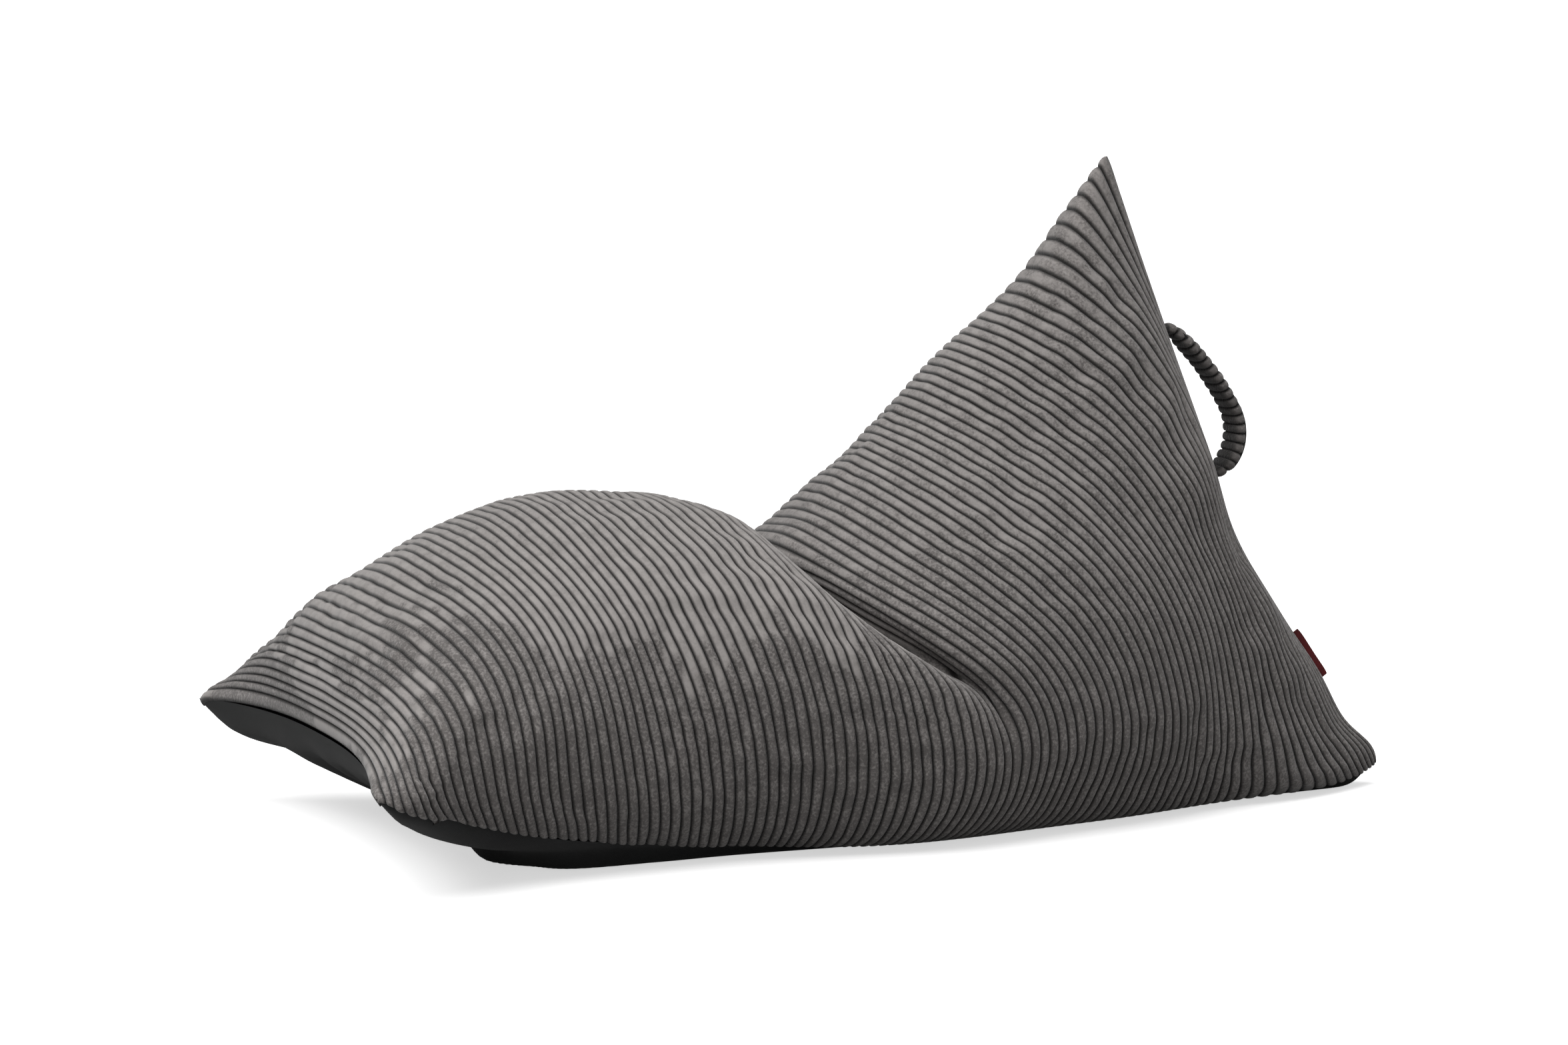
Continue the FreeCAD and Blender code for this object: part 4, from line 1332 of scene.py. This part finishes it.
# ------------------------------------------------------------------------------ the label
@dataclass
class SideLabel:
    """Blank woven label folded over and sewn into the rear seam."""

    shape: BagShape
    length: float = 66 * MM
    standout: float = 10 * MM
    thickness: float = 1.4 * MM
    middle_share: float = 0.205
    seam_gap: float = 1.0 * MM
    wave: float = 0.5 * MM

    def build(self) -> None:
        """Folded leaf: a hairpin profile carried down the seam, with a slight wave and soft corners."""
        whole = np.linalg.norm(self.shape.rear_seam(1.0) - self.shape.rear_seam(0.0))
        half = self.length / whole / 2
        top, span, down, out = self.shape.seam_frame(self.middle_share - half, self.middle_share + half)
        along = np.linspace(0, 1, 67)
        turn = np.linspace(-1, 1, 41)
        reach = np.sqrt(np.clip(1 - np.abs(turn) ** 2.6, 0, 1))
        spread = signed_power(turn, 0.6) * self.thickness / 2 * (1.25 - 0.25 * reach)
        wave = self.wave * np.sin(2 * math.pi * along * 1.3)
        soft = 1 - 0.12 * (2 * along - 1) ** 8
        stand = self.seam_gap + (self.standout - self.seam_gap) * reach * soft[:, None]
        x = spread + wave[:, None] * reach
        points = (top + (along * span)[:, None, None] * down + stand[..., None] * out
                  + x[..., None] * np.array([1.0, 0.0, 0.0]))
        rims = [points[[k]].mean(axis=1, keepdims=True) * np.ones_like(points[[k]]) for k in (0, -1)]
        rows = np.concatenate([rims[0], points, rims[1]])
        piece = make_mesh("label_folded", rows, grid_faces(*rows.shape[:2], closed=True))
        Slot.LABEL_CLOTH.dress(piece, "label", ("label_tag",))
        Slot.LABEL_CLOTH.dress(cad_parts["label_seam_tab"])


# ------------------------------------------------------------------------------ the zips
@dataclass
class ZipFastener:
    """One zip: the CAD tapes, stops and slider, with real coil teeth in place of the plain bars."""

    name: str
    pitch: float = 2.6 * MM
    pieces: tuple[str, ...] = ("tape_left", "tape_right", "stops", "slider")
    slots: tuple[Slot, ...] = (Slot.ZIP_TAPE, Slot.ZIP_TAPE, Slot.ZIP_METAL, Slot.ZIP_METAL)

    def tooth(self, size: Array) -> tuple[Array, Array]:
        """One tooth: a small block pinched towards its tip, of 16 points and 15 faces.

        Args:
            size: its width across the zip, along it and its height.

        Returns:
            Points about the tooth's middle, and its faces.
        """
        across = np.array([-0.5, -0.2, 0.25, 0.5])
        half_along = np.array([0.30, 0.36, 0.42, 0.22])
        half_high = np.array([0.5, 0.42, 0.5, 0.30])
        corner = np.array([(-1, -1), (1, -1), (1, 1), (-1, 1)])
        ring = np.stack([np.repeat(across[:, None], 4, 1), half_along[:, None] * corner[:, 0],
                         half_high[:, None] * corner[:, 1]], axis=-1)
        faces = np.concatenate([grid_faces(4, 4, closed=True), [[3, 2, 1, 0]], [[12, 13, 14, 15]]])
        return ring.reshape(-1, 3) * size, faces

    def teeth(self, side: str, sign: int) -> Piece:
        """A row of teeth in the bar's place, one every pitch, half a pitch on from the other row."""
        low, high = (np.array(corner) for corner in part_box(f"{self.name}_teeth_{side}"))
        middle = (low + high) / 2
        count = int((high[1] - low[1]) / self.pitch) - 1
        size = np.array([(high[0] - low[0]) * -sign, self.pitch, high[2] - low[2]])
        points, faces = self.tooth(size)
        places = low[1] + self.pitch * (np.arange(count) + (0.75 if sign > 0 else 1.25))
        centre = np.stack([np.full(count, middle[0]), places, np.full(count, middle[2])], axis=-1)
        cloud = centre[:, None] + points[None]
        every = faces[None] + len(points) * np.arange(count)[:, None, None]
        every = every.reshape(-1, 4)
        if sign > 0:
            every = every[:, ::-1]
        piece = make_mesh(f"{self.name}_coil_{side}", cloud, every, smooth=False)
        Slot.ZIP_TEETH.dress(piece, "root", (f"{self.name}_teeth_{side}",))
        return piece

    def build(self) -> None:
        """Makes both rows of teeth and dresses the CAD pieces."""
        for side, sign in (("left", 1), ("right", -1)):
            self.teeth(side, sign)
        for part, slot in zip(self.pieces, self.slots):
            slot.dress(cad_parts[f"{self.name}_{part}"])


# ------------------------------------------------------------------------------ studio
@dataclass(frozen=True)
class Sun:
    """A soft sun: where it stands in degrees, its strength in W/m2 and how wide it is in degrees."""

    name: str
    azimuth: float
    elevation: float
    strength: float
    width: float


@dataclass
class Studio:
    """Pale floor, soft light and the camera."""

    azimuth: float = 69.47
    elevation: float = 6.5
    distance: float = 6.0
    lens: float = 116.64
    target: tuple[float, float, float] = (0.0, -0.085, 0.358)
    suns: tuple[Sun, ...] = (Sun("key", 28, 62, 3.3, 60), Sun("fill", 100, 20, 0.36, 70))
    lamp_distance: float = 3.0
    floor_half: float = 300.0
    floor_paint: float = 0.80
    floor_bounce: float = 0.34
    floor_glow: float = 0.60
    room_light: float = 0.17

    def direction(self, azimuth: float, elevation: float) -> Array:
        """Unit vector from the object towards an azimuth and elevation in degrees."""
        a, e = math.radians(azimuth), math.radians(elevation)
        return np.array([math.sin(a) * math.cos(e), -math.cos(a) * math.cos(e), math.sin(e)])

    def place(self, name: str, data: bpy.types.ID, azimuth: float, elevation: float,
              distance: float) -> Piece:
        """Adds a camera or a lamp that points at the target.

        Args:
            name: its name.
            data: its settings.
            azimuth: where it stands round the object, in degrees.
            elevation: how high, in degrees.
            distance: how far away, in metres.

        Returns:
            The object.
        """
        thing = bpy.data.objects.new(name, data)
        way = self.direction(azimuth, elevation)
        thing.location = Vector(self.target) + distance * Vector(way)
        thing.rotation_euler = Vector(-way).to_track_quat("-Z", "Y").to_euler()
        bpy.context.scene.collection.objects.link(thing)
        return thing

    def camera(self) -> None:
        """Camera at the chosen angle."""
        data = bpy.data.cameras.new("camera")
        data.lens = self.lens
        data.clip_end = 1000
        camera = self.place("camera", data, self.azimuth, self.elevation, self.distance)
        bpy.context.scene.camera = camera

    def lights(self) -> None:
        """Both suns."""
        for sun in self.suns:
            data = bpy.data.lights.new(sun.name, "SUN")
            data.energy = sun.strength
            data.angle = math.radians(sun.width)
            self.place(sun.name, data, sun.azimuth, sun.elevation, self.lamp_distance)

    def floor(self) -> None:
        """Wide pale floor that goes to white away from the object's shadow."""
        corners = self.floor_half * np.array([(-1.0, -1, 0), (1, -1, 0), (1, 1, 0), (-1, 1, 0)])
        floor = make_mesh("studio_floor", corners, np.array([[0, 1, 2, 3]]), smooth=False)
        material = bpy.data.materials.new("studio_floor")
        material.use_nodes = True
        material.node_tree.nodes.clear()
        nodes = Nodes(material.node_tree)
        paint, bounce = (nodes.add("BsdfDiffuse", Color=(grey, grey, grey, 1))
                         for grey in (self.floor_paint, self.floor_bounce))
        glow = nodes.add("Emission", Color=(1, 1, 1, 1), Strength=self.floor_glow)
        seen, choice = nodes.add("AddShader"), nodes.add("MixShader")
        ray = nodes.add("LightPath").outputs["Is Camera Ray"]
        for node, sources in ((seen, (paint.outputs[0], glow.outputs[0])),
                              (choice, (ray, bounce.outputs[0], seen.outputs[0]))):
            for index, source in enumerate(sources):
                nodes.feed(node, index, source)
        nodes.add("OutputMaterial", Surface=choice.outputs[0])
        floor.data.materials.append(material)

    def world(self) -> None:
        """Even white surround: bright to the camera, soft on the object."""
        world = bpy.data.worlds.new("studio")
        world.use_nodes = True
        world.node_tree.nodes.clear()
        nodes = Nodes(world.node_tree)
        ray = nodes.add("LightPath").outputs["Is Camera Ray"]
        strength = nodes.ramp(ray, 0.0, 1.0, self.room_light, 1.0)
        back = nodes.add("Background", Color=(1, 1, 1, 1), Strength=strength)
        nodes.add("OutputWorld", Surface=back.outputs[0])
        bpy.context.scene.world = world

    def build(self) -> None:
        """Sets the studio up."""
        self.camera()
        self.lights()
        self.floor()
        self.world()
        bpy.context.scene.view_settings.view_transform = "Standard"


def main() -> None:
    """Builds the chair piece by piece, then the studio."""
    low, high = (np.array(corner) for corner in CAD_BOUNDS)
    width, length, height = high - low
    shape = BagShape(length=length, width=width, height=height)
    BeanBag(shape).build()
    CarryHandle(shape).build()
    SideLabel(shape).build()
    ZipFastener("outer_zip").build()
    Slot.ZIP_METAL.dress(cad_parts["outer_zip_pull"])
    ZipFastener("liner_zip").build()
    Studio().build()


if __name__ == "__main__":
    main()
